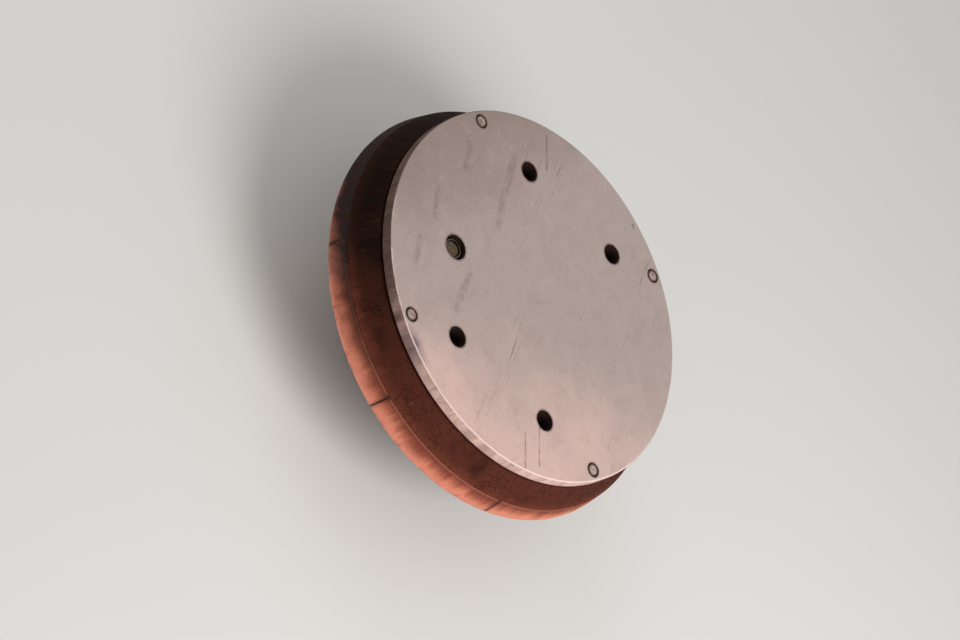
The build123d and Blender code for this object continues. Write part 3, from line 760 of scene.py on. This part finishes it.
def sheet_metal(name, colour, roughness, stain, metallic=1.0):
    """Rolled or anodised sheet: straight grain with worn patches."""
    finish = Finish(name)
    grain = finish.noise(1.0, 3, 0.6, finish.stretched((14, 950, 950)))
    smears = finish.noise(14.0, 5, 0.6)
    specks = finish.noise(240.0, 3)
    shade = finish.layered(colour, (smears, 0.38, 0.70, 0.8, stain), (specks, 0.60, 0.74, 0.5, stain))
    dull = smears.ease(0.3, 0.7, roughness - 0.06, roughness + 0.14)
    normal = finish.relief((grain, 0.00008, 0.5), (smears, 0.0008, 0.3))
    return finish.done(shade, dull, normal, metallic=metallic, specular=0.5)


def black_steel(name, colour, worn):
    """Blackened steel with a brown bloom of heat and worn high spots."""
    finish = Finish(name)
    bloom = finish.noise(70.0, 5, 0.6)
    specks = finish.noise(380.0, 3)
    shade = finish.layered(colour, (bloom, 0.38, 0.70, 1.0, worn), (specks, 0.58, 0.74, 0.6, worn))
    normal = finish.relief((specks, 0.0002, 0.5))
    return finish.done(shade, bloom.ease(0.3, 0.7, 0.42, 0.68), normal, metallic=0.8, specular=0.4)


def rubber_finish(name, colour, dusty, speck):
    """Silicone rubber, dusted along its crown."""
    finish = Finish(name)
    dust = finish.noise(40.0, 5, 0.6)
    specks = finish.noise(500.0, 2)
    shade = finish.layered(colour, (dust, 0.36, 0.68, 1.0, dusty), (specks, 0.58, 0.72, 0.5, speck))
    normal = finish.relief((specks, 0.0002, 0.4))
    return finish.done(shade, dust.ease(0.3, 0.7, 0.52, 0.74), normal, specular=0.4)


def plastic_finish(name, colour, light):
    """Moulded insulating plastic, slightly dusty."""
    finish = Finish(name)
    dust = finish.noise(110.0, 5, 0.6)
    specks = finish.noise(700.0, 2)
    shade = finish.layered(colour, (dust, 0.40, 0.70, 1.0, light), (specks, 0.60, 0.74, 0.4, light))
    normal = finish.relief((specks, 0.0001, 0.5))
    return finish.done(shade, dust.ease(0.3, 0.7, 0.48, 0.72), normal, specular=0.4)


def fabric_finish(name, colour, shade, pitch):
    """Woven cloth: crossing yarns of this pitch, soft folds and a little soil."""
    finish = Finish(name)
    x, y, z = finish.parts(finish.place)
    yarn = math.tau / pitch
    weave = finish.math("SINE", (x + z) * yarn) * finish.math("SINE", y * yarn)
    soil = finish.noise(11.0, 5, 0.6)
    slubs = finish.noise(1.0, 3, 0.6, finish.stretched((900, 60, 900)))
    folds = finish.noise(26.0, 4, 0.55, warp=1.2)
    cloth = finish.layered(
        colour,
        (soil, 0.40, 0.72, 0.7, shade),
        (weave, 0.1, 0.9, 0.28, shade),
        (slubs, 0.56, 0.74, 0.4, shade),
    )
    finish.shader.inputs["Sheen Weight"].default_value = 0.25
    finish.shader.inputs["Sheen Roughness"].default_value = 0.5
    normal = finish.relief((folds, 0.0030, 0.5), (weave, 0.0004, 0.6))
    return finish.done(cloth, soil.ease(0.3, 0.7, 0.80, 0.95), normal, specular=0.2)


def floor_finish(look):
    """Plain pale floor, clear from below and to the lamp under it, so that the underside can be seen."""
    finish = Finish("stage floor")
    soft = finish.noise(1.4, 3, 0.5)
    darker = [channel * 0.97 for channel in look.floor]
    shade = finish.layered(look.floor, (soft, 0.3, 0.7, 0.25, darker))
    finish.done(shade, 0.9, finish.relief((soft, 0.0001, 0.1)), specular=0.1)
    from_below = finish.add("NewGeometry", out="Backfacing")
    to_lamp = finish.add("LightPath", out="Is Shadow Ray")
    surface = Wire(finish, finish.shader.outputs[0])
    clear = finish.add("BsdfTransparent")
    both = finish.add("MixShader", finish.most([from_below, to_lamp]), surface, clear)
    finish.feed(finish.nodes["Material Output"].inputs["Surface"], both)
    return finish.material


def made_once(name, make, *arguments):
    """The finish of this name, made if it isn't there yet."""
    return bpy.data.materials.get(name) or make(name, *arguments)


def frame_metal(look):
    """Chromated aluminium of the frame and the connector's bracket."""
    return made_once("chromated aluminium", turned_metal, look.chromate, 0.50, tone(146, 134, 104))


def fastener_metal():
    """Steel of bolts, screws and rivets."""
    return made_once("fastener steel", sheet_metal, tone(178, 176, 170), 0.30, tone(120, 112, 102))


def dress(node, material):
    """Give a CAD node this finish."""
    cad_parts[node].material_slots[0].material = material


def turned(mesh, profile, matrix, segments=20):
    """Add a turned shape to a bmesh: its profile is a list of radius and height."""
    rings = []
    for radius, height in profile:
        if radius == 0:
            rings.append([mesh.verts.new(matrix @ Vector((0, 0, height)))])
            continue
        turns = [math.tau * index / segments for index in range(segments)]
        rings.append([
            mesh.verts.new(matrix @ Vector((radius * math.cos(turn), radius * math.sin(turn), height)))
            for turn in turns
        ])
    for lower, upper in zip(rings, rings[1:]):
        for index in range(segments):
            after = (index + 1) % segments
            corners = [
                lower[index % len(lower)], lower[after % len(lower)],
                upper[after % len(upper)], upper[index % len(upper)],
            ]
            mesh.faces.new(dict.fromkeys(corners))


def hex_bolt(mesh, matrix, radius, height):
    """A hexagon head on its washer."""
    washer = height * 0.22
    turned(mesh, [
        (0, 0), (radius * 1.35, 0), (radius * 1.35, washer * 0.8), (radius * 1.28, washer), (0, washer),
    ], matrix, 24)
    turned(mesh, [(radius, washer), (radius, height * 0.88), (radius * 0.86, height), (0, height)], matrix, 6)


def socket_screw(mesh, matrix, radius, height):
    """A round head with a socket sunk in it."""
    turned(mesh, [
        (radius, 0), (radius, height * 0.82), (radius * 0.86, height), (radius * 0.55, height),
        (radius * 0.50, height * 0.45), (0, height * 0.45),
    ], matrix, 18)


def rivet(mesh, matrix, radius, height):
    """A low domed head."""
    turned(mesh, [
        (radius, 0), (radius * 0.90, height * 0.45), (radius * 0.58, height * 0.85), (0, height),
    ], matrix, 12)


def small_block(mesh, matrix, size):
    """A block of this size about a place."""
    bmesh.ops.create_cube(mesh, size=1, matrix=matrix @ Matrix.Diagonal((*size, 1)))


def skin(mesh, rows):
    """Faces between neighbouring rows of points."""
    for lower, upper in zip(rows, rows[1:]):
        for index in range(len(lower) - 1):
            mesh.faces.new((lower[index], lower[index + 1], upper[index + 1], upper[index]))


def at(x, y, z, turn=0.0, tilt=0.0):
    """A place: turned about +Z, then tilted about the turned Y axis."""
    return Matrix.Translation((x, y, z)) @ Matrix.Rotation(turn, 4, "Z") @ Matrix.Rotation(tilt, 4, "Y")


def polar(reach, angle, z, tilt=0.0):
    """A place at this reach and angle from the axis, its X pointing outwards."""
    return at(reach * math.cos(angle), reach * math.sin(angle), z, angle, tilt)


def ring_of_places(count, reach, z, tilt=0.0):
    """Places evenly round the axis, the first half a step round from +X."""
    return [polar(reach, math.tau * (index + 0.5) / count, z, tilt) for index in range(count)]


def places_round(centre, reach, z, count, start=0.0):
    """Upright places evenly round a centre, the first this many steps round from +X."""
    turns = [math.tau * (index + start) / count for index in range(count)]
    return [at(centre.x + reach * math.cos(turn), centre.y + reach * math.sin(turn), z) for turn in turns]


def line_and_side(angle):
    """The direction at this angle on the flat, and the one a quarter turn on."""
    along = Vector((math.cos(angle), math.sin(angle)))
    return along, Vector((-along.y, along.x))


def linked(name, data):
    """A new object of the scene that holds this data."""
    made = bpy.data.objects.new(name, data)
    bpy.context.scene.collection.objects.link(made)
    return made


def as_data(name, mesh):
    """Turn a bmesh into mesh data, and free it."""
    data = bpy.data.meshes.new(name)
    mesh.to_mesh(data)
    mesh.free()
    return data


def smooth(data, crease):
    """Shade mesh data smoothly, but for edges sharper than crease degrees."""
    data.polygons.foreach_set("use_smooth", [True] * len(data.polygons))
    data.set_sharp_from_angle(angle=math.radians(crease))


def piece(name, mesh, material, body):
    """Turn a bmesh into a piece that rides on a body."""
    bmesh.ops.recalc_face_normals(mesh, faces=mesh.faces)
    made = linked(name, as_data(name, mesh))
    made.data.materials.append(material)
    smooth(made.data, PIECE_CREASE)
    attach(made, body)
    return made


def fasteners(name, head, size, places):
    """One piece of like heads on the vehicle, of this radius and height, one at each place."""
    mesh = bmesh.new()
    for place in places:
        head(mesh, place, *size)
    piece(name, mesh, fastener_metal(), "vehicle")


def thicken(shape, thickness):
    """Give a sheet its thickness, outwards."""
    solid = shape.modifiers.new("thickness", "SOLIDIFY")
    solid.thickness, solid.offset = thickness, 1


def settle(shape):
    """Apply an object's modifiers to its mesh."""
    graph = bpy.context.evaluated_depsgraph_get()
    data = bpy.data.meshes.new_from_object(shape.evaluated_get(graph))
    shape.modifiers.clear()
    shape.data = data


class CAPSULE_OT_aft_cover(bpy.types.Operator):
    """Finish the aft cover and the ringed plugs over its fasteners"""

    bl_idname = "capsule.aft_cover"
    bl_label = "Aft cover"

    def execute(self, context):
        dress("aft_cover", insulation_finish(context.scene.capsule_cover))
        dress("cover_plugs", plug_finish())
        return {"FINISHED"}


class CAPSULE_OT_cover_panel(bpy.types.Operator):
    """Finish the panel under the insulation, its ribs and bolts, and rivet the ribs to it"""

    bl_idname = "capsule.cover_panel"
    bl_label = "Cover panel"

    rib_count: bpy.props.IntProperty(
        name="Ribs", description="Number of ribs that are riveted to the panel", default=8, min=3)
    rivets_per_rib: bpy.props.IntProperty(
        name="Rivets along a rib", description="Number of rivets on each side of a rib", default=9, min=2)

    def is_free(self, place):
        """True where a rivet clears the holes in the panel."""
        spot = place.translation.xy
        return all((spot - hole.xy).length > PORT_RADIUS + RIB_RIVET_CLEARANCE for hole in [*POSTS, PORT])

    def execute(self, context):
        panel = turned_metal("panel aluminium", tone(150, 143, 136), 0.42, tone(104, 92, 84))
        dress("cover_panel", panel)
        dress("panel_ribs", panel)
        dress("cover_bolts", fastener_metal())
        mesh = bmesh.new()
        for rib in range(self.rib_count):
            angle = math.tau * rib / self.rib_count
            for step in range(self.rivets_per_rib):
                reach = RIB_ROW_START + RIB_ROW_LENGTH * step / (self.rivets_per_rib - 1)
                for side in (-1, 1):
                    lean = side * math.atan2(RIB_ROW_ASIDE, reach)
                    place = polar(reach, angle + lean, PANEL_Z, math.pi)
                    if self.is_free(place):
                        rivet(mesh, place, *RIB_RIVET)
        piece("panel_rivets", mesh, fastener_metal(), "cover")
        return {"FINISHED"}


class CAPSULE_OT_heat_shield(bpy.types.Operator):
    """Finish the heat shield's tiles, the strips between them and the carrier under them"""

    bl_idname = "capsule.heat_shield"
    bl_label = "Heat shield"

    def execute(self, context):
        tiles = shield_finish(context.scene.capsule_shield)
        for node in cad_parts:
            if "_tile_" in node or node.startswith("nose_"):
                dress(node, tiles)
        dress("gap_fillers", made_once("charred felt", filler_finish))
        carrier = turned_metal("carrier aluminium", tone(168, 166, 160), 0.40, tone(120, 114, 104))
        dress("carrier_shell", carrier)
        return {"FINISHED"}


class CAPSULE_OT_side_wall(bpy.types.Operator):
    """Finish the charred side wall and the seal at its foot"""

    bl_idname = "capsule.side_wall"
    bl_label = "Side wall"

    def execute(self, context):
        dress("side_wall", wall_finish(context.scene.capsule_shield))
        dress("wall_seal", made_once("charred felt", filler_finish))
        return {"FINISHED"}


class CAPSULE_OT_backshell_frame(bpy.types.Operator):
    """Finish the frame under the side wall, with its ring, seal and fasteners"""

    bl_idname = "capsule.backshell_frame"
    bl_label = "Backshell frame"

    flange_bolts: bpy.props.IntProperty(
        name="Flange bolts", description="Number of bolts round the frame's flange", default=32, min=4)
    lip_rivets: bpy.props.IntProperty(
        name="Lip rivets", description="Number of rivets round the lip of the aft ring", default=64, min=4)

    def execute(self, context):
        metal = frame_metal(context.scene.capsule_bay)
        for node in ("backshell_frame", "stringers", "aft_ring"):
            dress(node, metal)
        red = rubber_finish("seal silicone", tone(172, 62, 44), tone(132, 48, 38), tone(198, 120, 100))
        dress("cover_seal", red)
        on_flange = ring_of_places(self.flange_bolts, SHELL_BOLT_REACH, DECK_Z + SHELL_FLANGE_HEIGHT)
        fasteners("flange_bolts", hex_bolt, FLANGE_BOLT, on_flange)
        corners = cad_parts["aft_ring"].data.vertices
        on_lip = min(math.hypot(corner.co.x, corner.co.y) for corner in corners) + LIP_RIVET_SINK
        facing_in = ring_of_places(self.lip_rivets, on_lip, RING_FOOT_Z + LIP_RIVET_HEIGHT, -math.pi / 2)
        fasteners("ring_rivets", rivet, LIP_RIVET, facing_in)
        return {"FINISHED"}


class CAPSULE_OT_deck(bpy.types.Operator):
    """Finish the deck and the block under it, and set threaded inserts in the deck"""

    bl_idname = "capsule.deck"
    bl_label = "Deck"

    insert_pitch: bpy.props.FloatProperty(
        name="Insert pitch", description="Spacing of the threaded inserts",
        subtype="DISTANCE", unit="LENGTH", default=0.050, min=0.02, max=0.2)

    def is_free(self, x, y):
        """True where an insert clears what stands on the deck."""
        clear_of_posts = all(math.hypot(x - post.x, y - post.y) > CLEAR_OF_POST for post in POSTS)
        clear_of_port = math.hypot(x - PORT.x, y - PORT.y) > CLEAR_OF_PORT
        at_box = (BOX_LOW.x - CLEAR_OF_BOX < x < BOX_HIGH.x + CLEAR_OF_BOX
                  and BOX_LOW.y - CLEAR_OF_BOX < y < BOX_HIGH.y + CLEAR_OF_BOX)
        on_deck = CAN_FLANGE_RADIUS + CLEAR_OF_CAN < math.hypot(x, y) < DECK_RIM_REACH
        return on_deck and clear_of_posts and clear_of_port and not at_box

    def execute(self, context):
        dress("deck", sheet_metal("deck aluminium", tone(190, 189, 184), 0.54, tone(146, 142, 134)))
        dress("payload_block", sheet_metal("block aluminium", tone(160, 160, 158), 0.45, tone(120, 118, 114)))
        rings, bores = bmesh.new(), bmesh.new()
        last = math.ceil(DECK_RIM_REACH / self.insert_pitch)
        steps = [step * self.insert_pitch for step in range(-last, last + 1)]
        for x in steps:
            for y in steps:
                if self.is_free(x, y):
                    turned(rings, INSERT_RING, at(x, y, DECK_Z), 20)
                    turned(bores, INSERT_BORE, at(x, y, DECK_Z), 12)
        dark = black_steel("dark bore", tone(20, 18, 17), tone(44, 40, 38))
        piece("deck_inserts", rings, fastener_metal(), "vehicle")
        piece("insert_bores", bores, dark, "vehicle")
        return {"FINISHED"}


class CAPSULE_OT_separation_posts(bpy.types.Operator):
    """Finish the four separation posts and bolt their flanges down"""

    bl_idname = "capsule.separation_posts"
    bl_label = "Separation posts"

    def execute(self, context):
        steel = black_steel("blackened steel", tone(46, 41, 38), tone(84, 72, 64))
        places = []
        for number, post in enumerate(POSTS, start=1):
            dress(f"separation_post_{number}", steel)
            places += places_round(post, POST_SCREW_REACH, DECK_Z + POST_FLANGE_HEIGHT, 4)
        fasteners("post_flange_screws", socket_screw, POST_SCREW, places)
        return {"FINISHED"}


class CAPSULE_OT_parachute(bpy.types.Operator):
    """Finish the parachute can, and lay the bag with its flaps and webbing in it"""

    bl_idname = "capsule.parachute"
    bl_label = "Parachute"

    flange_screws: bpy.props.IntProperty(
        name="Flange screws", description="Number of screws round the can's flange", default=24, min=4)

    def execute(self, context):
        look = context.scene.capsule_bay
        dress("parachute_can", turned_metal("bare aluminium", look.aluminium, 0.46, tone(150, 149, 146)))
        cloth = fabric_finish("bag cloth", look.fabric, tone(160, 148, 122), 0.0036)
        webbing = fabric_finish("webbing", tone(96, 98, 78), tone(62, 64, 50), 0.0024)
        bag = self.body(look)
        tree = BVHTree.FromObject(bag, bpy.context.evaluated_depsgraph_get())

        def top(x, y):
            """Height of the bag's top at a point."""
            found = tree.ray_cast(Vector((x, y, 1)), Vector((0, 0, -1)))[0]
            return found.z if found else PACK_LOW.z

        edge = PACK_HIGH.x - FLAP_EDGE_INSET
        flaps = [self.flap(quarter, edge, top) for quarter in range(4)]
        rounded = bag.modifiers.new("smooth", "SUBSURF")
        rounded.levels = rounded.render_levels = 1
        settle(bag)
        self.join(bag, flaps, cloth)
        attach(bag, "vehicle")
        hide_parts("parachute_pack")
        self.straps(webbing, cloth, edge, top)
        eye = bmesh.new()
        turned(eye, STRAP_EYE, at(0, 0, top(0, 0) + EYE_LIFT), 28)
        piece("pack_eye", eye, fastener_metal(), "vehicle")
        reach = CAN_FLANGE_RADIUS - CAN_SCREW_INSET
        on_flange = ring_of_places(self.flange_screws, reach, DECK_Z + CAN_FLANGE_HEIGHT)
        fasteners("can_flange_screws", socket_screw, CAN_SCREW, on_flange)
        return {"FINISHED"}

    def body(self, look):
        """The bag's body: a flat round shape, remeshed and swollen by cloth simulation."""
        radius = PACK_HIGH.x - look.bag_inset
        low, high = PACK_LOW.z + BAG_GAP_BELOW, PACK_HIGH.z - BAG_GAP_ABOVE
        mesh = bmesh.new()
        turned(mesh, [
            (0, low), (radius - 0.006, low), (radius, low + 0.006), (radius, high - 0.012),
            (radius - 0.004, high - 0.004), (radius - 0.012, high), (0, high),
        ], Matrix.Identity(4), 96)
        bmesh.ops.recalc_face_normals(mesh, faces=mesh.faces)
        bag = linked("parachute_bag", as_data("parachute_bag", mesh))
        remesh = bag.modifiers.new("even mesh", "REMESH")
        remesh.mode, remesh.voxel_size = "VOXEL", BAG_MESH_SIZE
        settle(bag)
        self.blow_up(bag, look.swell)
        return bag

    def blow_up(self, bag, most):
        """Swell the bag as cloth, no point moving further than most, and keep the result."""
        scene = bpy.context.scene
        start = [vertex.co.copy() for vertex in bag.data.vertices]
        cloth = bag.modifiers.new("swelling", "CLOTH")
        cloth.settings.use_pressure = True
        cloth.settings.uniform_pressure_force = 4
        cloth.settings.effector_weights.gravity = 0
        cloth.settings.tension_stiffness = 12
        cloth.settings.bending_stiffness = 0.8
        for step in range(1, 21):
            scene.frame_set(step)
        settle(bag)
        scene.frame_set(1)
        for vertex, before in zip(bag.data.vertices, start):
            moved = vertex.co - before
            if moved.length > most:
                vertex.co = before + moved.normalized() * most

    def flap(self, quarter, edge, top):
        """One of four closing flaps, a quarter of the bag's top and a little more."""
        mesh = bmesh.new()
        rings, spokes = 18, 26
        middle_angle = math.tau * quarter / 4
        lift = FLAP_LIFT + UPPER_FLAP_LIFT * (quarter % 2)
        grid = []
        for ring in range(rings + 1):
            reach = FLAP_START + (edge - FLAP_START) * ring / rings
            row = []
            for spoke in range(spokes + 1):
                angle = middle_angle + FLAP_HALF_ANGLE * (2 * spoke / spokes - 1)
                x, y = reach * math.cos(angle), reach * math.sin(angle)
                row.append(mesh.verts.new((x, y, top(x, y) + lift)))
            grid.append(row)
        skin(mesh, grid)
        made = linked("flap", as_data("flap", mesh))
        thicken(made, FLAP_THICKNESS)
        settle(made)
        return made

    def join(self, bag, flaps, cloth):
        """Make the bag and its flaps one mesh."""
        joined = bmesh.new()
        for part in (bag, *flaps):
            joined.from_mesh(part.data)
        for part in flaps:
            bpy.data.objects.remove(part)
        bag.data = as_data("parachute_bag", joined)
        bag.data.materials.append(cloth)
        smooth(bag.data, BAG_CREASE)

    def ribbon(self, mesh, start, end, half_width, lift, top):
        """Lay a flat ribbon on the bag's top from start to end, lift metres above it."""
        along = (end - start).normalized()
        across = Vector((-along.y, along.x))
        steps = max(2, round((end - start).length / RIBBON_STEP))
        rows = []
        for step in range(steps + 1):
            middle_spot = start.lerp(end, step / steps)
            spots = [middle_spot + across * half_width * side for side in (-1, -0.5, 0, 0.5, 1)]
            rows.append([mesh.verts.new((spot.x, spot.y, top(spot.x, spot.y) + lift)) for spot in spots])
        skin(mesh, rows)

    def stitches(self, mesh, start, end, lift, top):
        """Sew a row of stitches on the bag's top from start to end."""
        turn = math.atan2(end.y - start.y, end.x - start.x)
        count = max(2, round((end - start).length / STITCH_PITCH))
        for step in range(count):
            spot = start.lerp(end, (step + 0.5) / count)
            small_block(mesh, at(spot.x, spot.y, top(spot.x, spot.y) + lift, turn), STITCH_SIZE)

    def straps(self, webbing, cloth, edge, top):
        """Hems along the upper flaps, and two webbing straps that cross over them, all sewn down."""
        hems, straps, sewn = bmesh.new(), bmesh.new(), bmesh.new()
        for quarter in (1, 3):
            for side in (-1, 1):
                along, across = line_and_side(math.tau * quarter / 4 + side * HEM_ANGLE)
                start, end = along * HEM_START, along * (edge - HEM_END_INSET)
                self.ribbon(hems, start, end, HEM_HALF_WIDTH, HEM_LIFT, top)
                for aside in (across * -HEM_SEAM, across * HEM_SEAM):
                    self.stitches(sewn, start + aside, end + aside, HEM_SEAM_LIFT, top)
        for number in range(2):
            along, across = line_and_side(math.tau * number / 4)
            across = across * STRAP_SEAM
            extra = UPPER_STRAP_LIFT * number
            tip = along * (edge + STRAP_OVERHANG)
            self.ribbon(straps, -tip, tip, STRAP_HALF_WIDTH, STRAP_LIFT + extra, top)
            for end in (-1, 1):
                outer = along * end * (edge - STRAP_SEAM_INSET)
                inner = along * end * (edge - STRAP_SEAM_FAR_INSET)
                corners = [outer - across, outer + across, inner + across, inner - across]
                for first, last in ((0, 1), (1, 2), (2, 3), (3, 0), (0, 2), (1, 3)):
                    self.stitches(sewn, corners[first], corners[last], STRAP_SEAM_LIFT + extra, top)
        for name, mesh, material in (("flap_hems", hems, cloth), ("pack_straps", straps, webbing)):
            thicken(piece(name, mesh, material, "vehicle"), WEBBING_THICKNESS)
        thread = plastic_finish("thread", tone(226, 220, 200), tone(186, 176, 150))
        piece("pack_stitches", sewn, thread, "vehicle")


class CAPSULE_OT_electronics_box(bpy.types.Operator):
    """Finish the electronics box, with its lid screws, foot bolts and plug collars"""

    bl_idname = "capsule.electronics_box"
    bl_label = "Electronics box"

    collar_ribs: bpy.props.IntProperty(
        name="Collar ribs", description="Number of gripping ribs round a plug's collar", default=32, min=8)

    def execute(self, context):
        black = sheet_metal("black anodised", tone(40, 40, 43), 0.38, tone(66, 64, 64), metallic=0.55)
        dress("electronics_box", black)
        mesh = bmesh.new()
        box = middle("electronics_box")
        half_length = (BOX_HIGH.x - BOX_LOW.x) / 2
        lid_x, foot_x = half_length - BOX_FOOT - BOX_SCREW_INSET, half_length - BOX_FOOT / 2
        low_y, high_y = BOX_LOW.y + BOX_LID_OVERHANG + BOX_SCREW_INSET, BOX_LOW.y + BOX_LID_FAR_SCREWS
        for x in (-lid_x, -lid_x / 3, lid_x / 3, lid_x):
            for y in (low_y, high_y):
                socket_screw(mesh, at(box.x + x, y, BOX_HIGH.z), *LID_SCREW)
        for x in (-foot_x, foot_x):
            for y in (low_y + BOX_BOLT_SHIFT, high_y - BOX_BOLT_SHIFT):
                hex_bolt(mesh, at(box.x + x, y, DECK_Z + BOX_FOOT_HEIGHT), *BOX_BOLT)
        piece("box_screws", mesh, fastener_metal(), "vehicle")
        self.collars(box)
        return {"FINISHED"}

    def collars(self, box):
        """Knurled collars round the three plugs on the box's side."""
        mesh = bmesh.new()
        height = DECK_Z + (BOX_HIGH.z - DECK_Z) / 2
        face_outwards = Matrix.Rotation(-math.pi / 2, 4, "X")
        for number in (-1, 0, 1):
            x = box.x + number * BOX_PLUG_SPACING
            place = at(x, BOX_HIGH.y - BOX_PLUG_SEAT, height) @ face_outwards
            turned(mesh, PLUG_COLLAR, place, 32)
            for rib in range(self.collar_ribs):
                turn = Matrix.Rotation(math.tau * rib / self.collar_ribs, 4, "Z")
                small_block(mesh, place @ turn @ Matrix.Translation(COLLAR_RIB_PLACE), COLLAR_RIB_SIZE)
        steel = black_steel("plug_collar", tone(88, 90, 84), tone(128, 126, 116))
        piece("box_plug_collars", mesh, steel, "vehicle")


class CAPSULE_OT_umbilical(bpy.types.Operator):
    """Finish the umbilical connector and its bracket, with its pins and foot screws"""

    bl_idname = "capsule.umbilical"
    bl_label = "Umbilical connector"

    def execute(self, context):
        shell = turned_metal("connector shell", tone(138, 126, 116), 0.44, tone(92, 80, 71))
        dress("umbilical_connector", shell)
        dress("connector_insert", plastic_finish("connector plastic", tone(96, 82, 73), tone(124, 108, 97)))
        dress("connector_bracket", frame_metal(context.scene.capsule_bay))
        plated = sheet_metal("plated pins", tone(196, 172, 128), 0.32, tone(140, 118, 84))
        pins = bmesh.new()
        for reach, count in PIN_RINGS:
            for place in places_round(PORT, reach, INSERT_TOP_Z, count):
                turned(pins, PIN, place, 10)
        piece("connector_pins", pins, plated, "vehicle")
        on_foot = places_round(PORT, BRACKET_SCREW_REACH, BRACKET_Z + BRACKET_PLATE, 3, start=0.5)
        fasteners("bracket_screws", socket_screw, BRACKET_SCREW, on_foot)
        return {"FINISHED"}


class CAPSULE_OT_stage(bpy.types.Operator):
    """Set the floor, the soft light and the camera at the photograph's viewing angle"""

    bl_idname = "capsule.stage"
    bl_label = "Stage"

    def execute(self, context):
        look = context.scene.capsule_stage
        self.floor(look)
        for name, power, place, size in (
            ("key_light", look.key_power, (2.6, 2.2, 3.6), 3.0),
            ("fill_light", look.fill_power, (-2.8, -3.0, 2.6), 3.5),
            ("under_light", look.under_power, (0.8, -0.8, -2.4), 3.0),
        ):
            self.lamp(name, power, place, size)
        self.surroundings(context, look)
        self.camera(context, look)
        context.scene.view_settings.view_transform = "Standard"
        return {"FINISHED"}

    def floor(self, look):
        """A wide round floor just under the capsule's lowest point."""
        mesh = bmesh.new()
        turned(mesh, [(FLOOR_RADIUS, 0), (0, 0)], Matrix.Translation((0, 0, -FLOOR_GAP)), 96)
        floor = linked("floor", as_data("floor", mesh))
        floor.data.materials.append(floor_finish(look))

    def lamp(self, name, power, place, size):
        """A round soft lamp that points at the capsule's middle."""
        data = bpy.data.lights.new(name, "AREA")
        data.energy, data.size, data.shape = power, size, "DISK"
        lamp = linked(name, data)
        lamp.location = place
        aim = Vector((0, 0, FACE_Z / 2)) - lamp.location
        lamp.rotation_euler = aim.to_track_quat("-Z", "Y").to_euler()

    def surroundings(self, context, look):
        """Even light from all sides."""
        world = bpy.data.worlds.new("surroundings")
        world.use_nodes = True
        background = world.node_tree.nodes["Background"]
        background.inputs["Color"].default_value = (1.0, 0.985, 0.97, 1)
        background.inputs["Strength"].default_value = look.sky
        context.scene.world = world

    def camera(self, context, look):
        """A camera that looks at a point on the capsule's axis."""
        data = bpy.data.cameras.new("camera")
        data.lens, data.sensor_width = look.lens, SENSOR_WIDTH
        data.dof.use_dof = False
        camera = linked("camera", data)
        level, rise = look.distance * math.cos(look.elevation), look.distance * math.sin(look.elevation)
        aim = Vector((0, 0, look.aim_height))
        camera.location = aim + Vector((level * math.cos(look.azimuth), level * math.sin(look.azimuth), rise))
        upright = (aim - camera.location).to_track_quat("-Z", "Y")
        camera.rotation_euler = (upright @ Quaternion((0, 0, 1), look.roll)).to_euler()
        context.scene.camera = camera


LOOKS = {
    "capsule_cover": CapsuleCoverLook,
    "capsule_shield": CapsuleShieldLook,
    "capsule_bay": CapsuleBayLook,
    "capsule_stage": CapsuleStageLook,
}
OPERATORS = (
    CAPSULE_OT_stage,
    CAPSULE_OT_aft_cover,
    CAPSULE_OT_cover_panel,
    CAPSULE_OT_heat_shield,
    CAPSULE_OT_side_wall,
    CAPSULE_OT_backshell_frame,
    CAPSULE_OT_deck,
    CAPSULE_OT_separation_posts,
    CAPSULE_OT_parachute,
    CAPSULE_OT_electronics_box,
    CAPSULE_OT_umbilical,
)


class CAPSULE_PT_finish(bpy.types.Panel):
    """The capsule's finishes and fittings, in the 3D view's sidebar"""

    bl_label = "Return capsule"
    bl_idname = "CAPSULE_PT_finish"
    bl_space_type = "VIEW_3D"
    bl_region_type = "UI"
    bl_category = "Capsule"

    def draw(self, context):
        for group in LOOKS:
            look = getattr(context.scene, group)
            column = self.layout.column()
            for name in look.__annotations__:
                column.prop(look, name)
        for operator in OPERATORS:
            self.layout.operator(operator.bl_idname)


CLASSES = (*LOOKS.values(), *OPERATORS, CAPSULE_PT_finish)


def register():
    """Register the classes, and give the scene their settings."""
    for made in CLASSES:
        bpy.utils.register_class(made)
    for name, look in LOOKS.items():
        setattr(bpy.types.Scene, name, bpy.props.PointerProperty(type=look))


def unregister():
    """Take the settings and the classes away again."""
    for name in LOOKS:
        delattr(bpy.types.Scene, name)
    for made in reversed(CLASSES):
        bpy.utils.unregister_class(made)


def main():
    """Make everything."""
    register()
    for operator in OPERATORS:
        name = operator.bl_idname.split(".")[1]
        getattr(bpy.ops.capsule, name)()


if __name__ == "__main__":
    main()
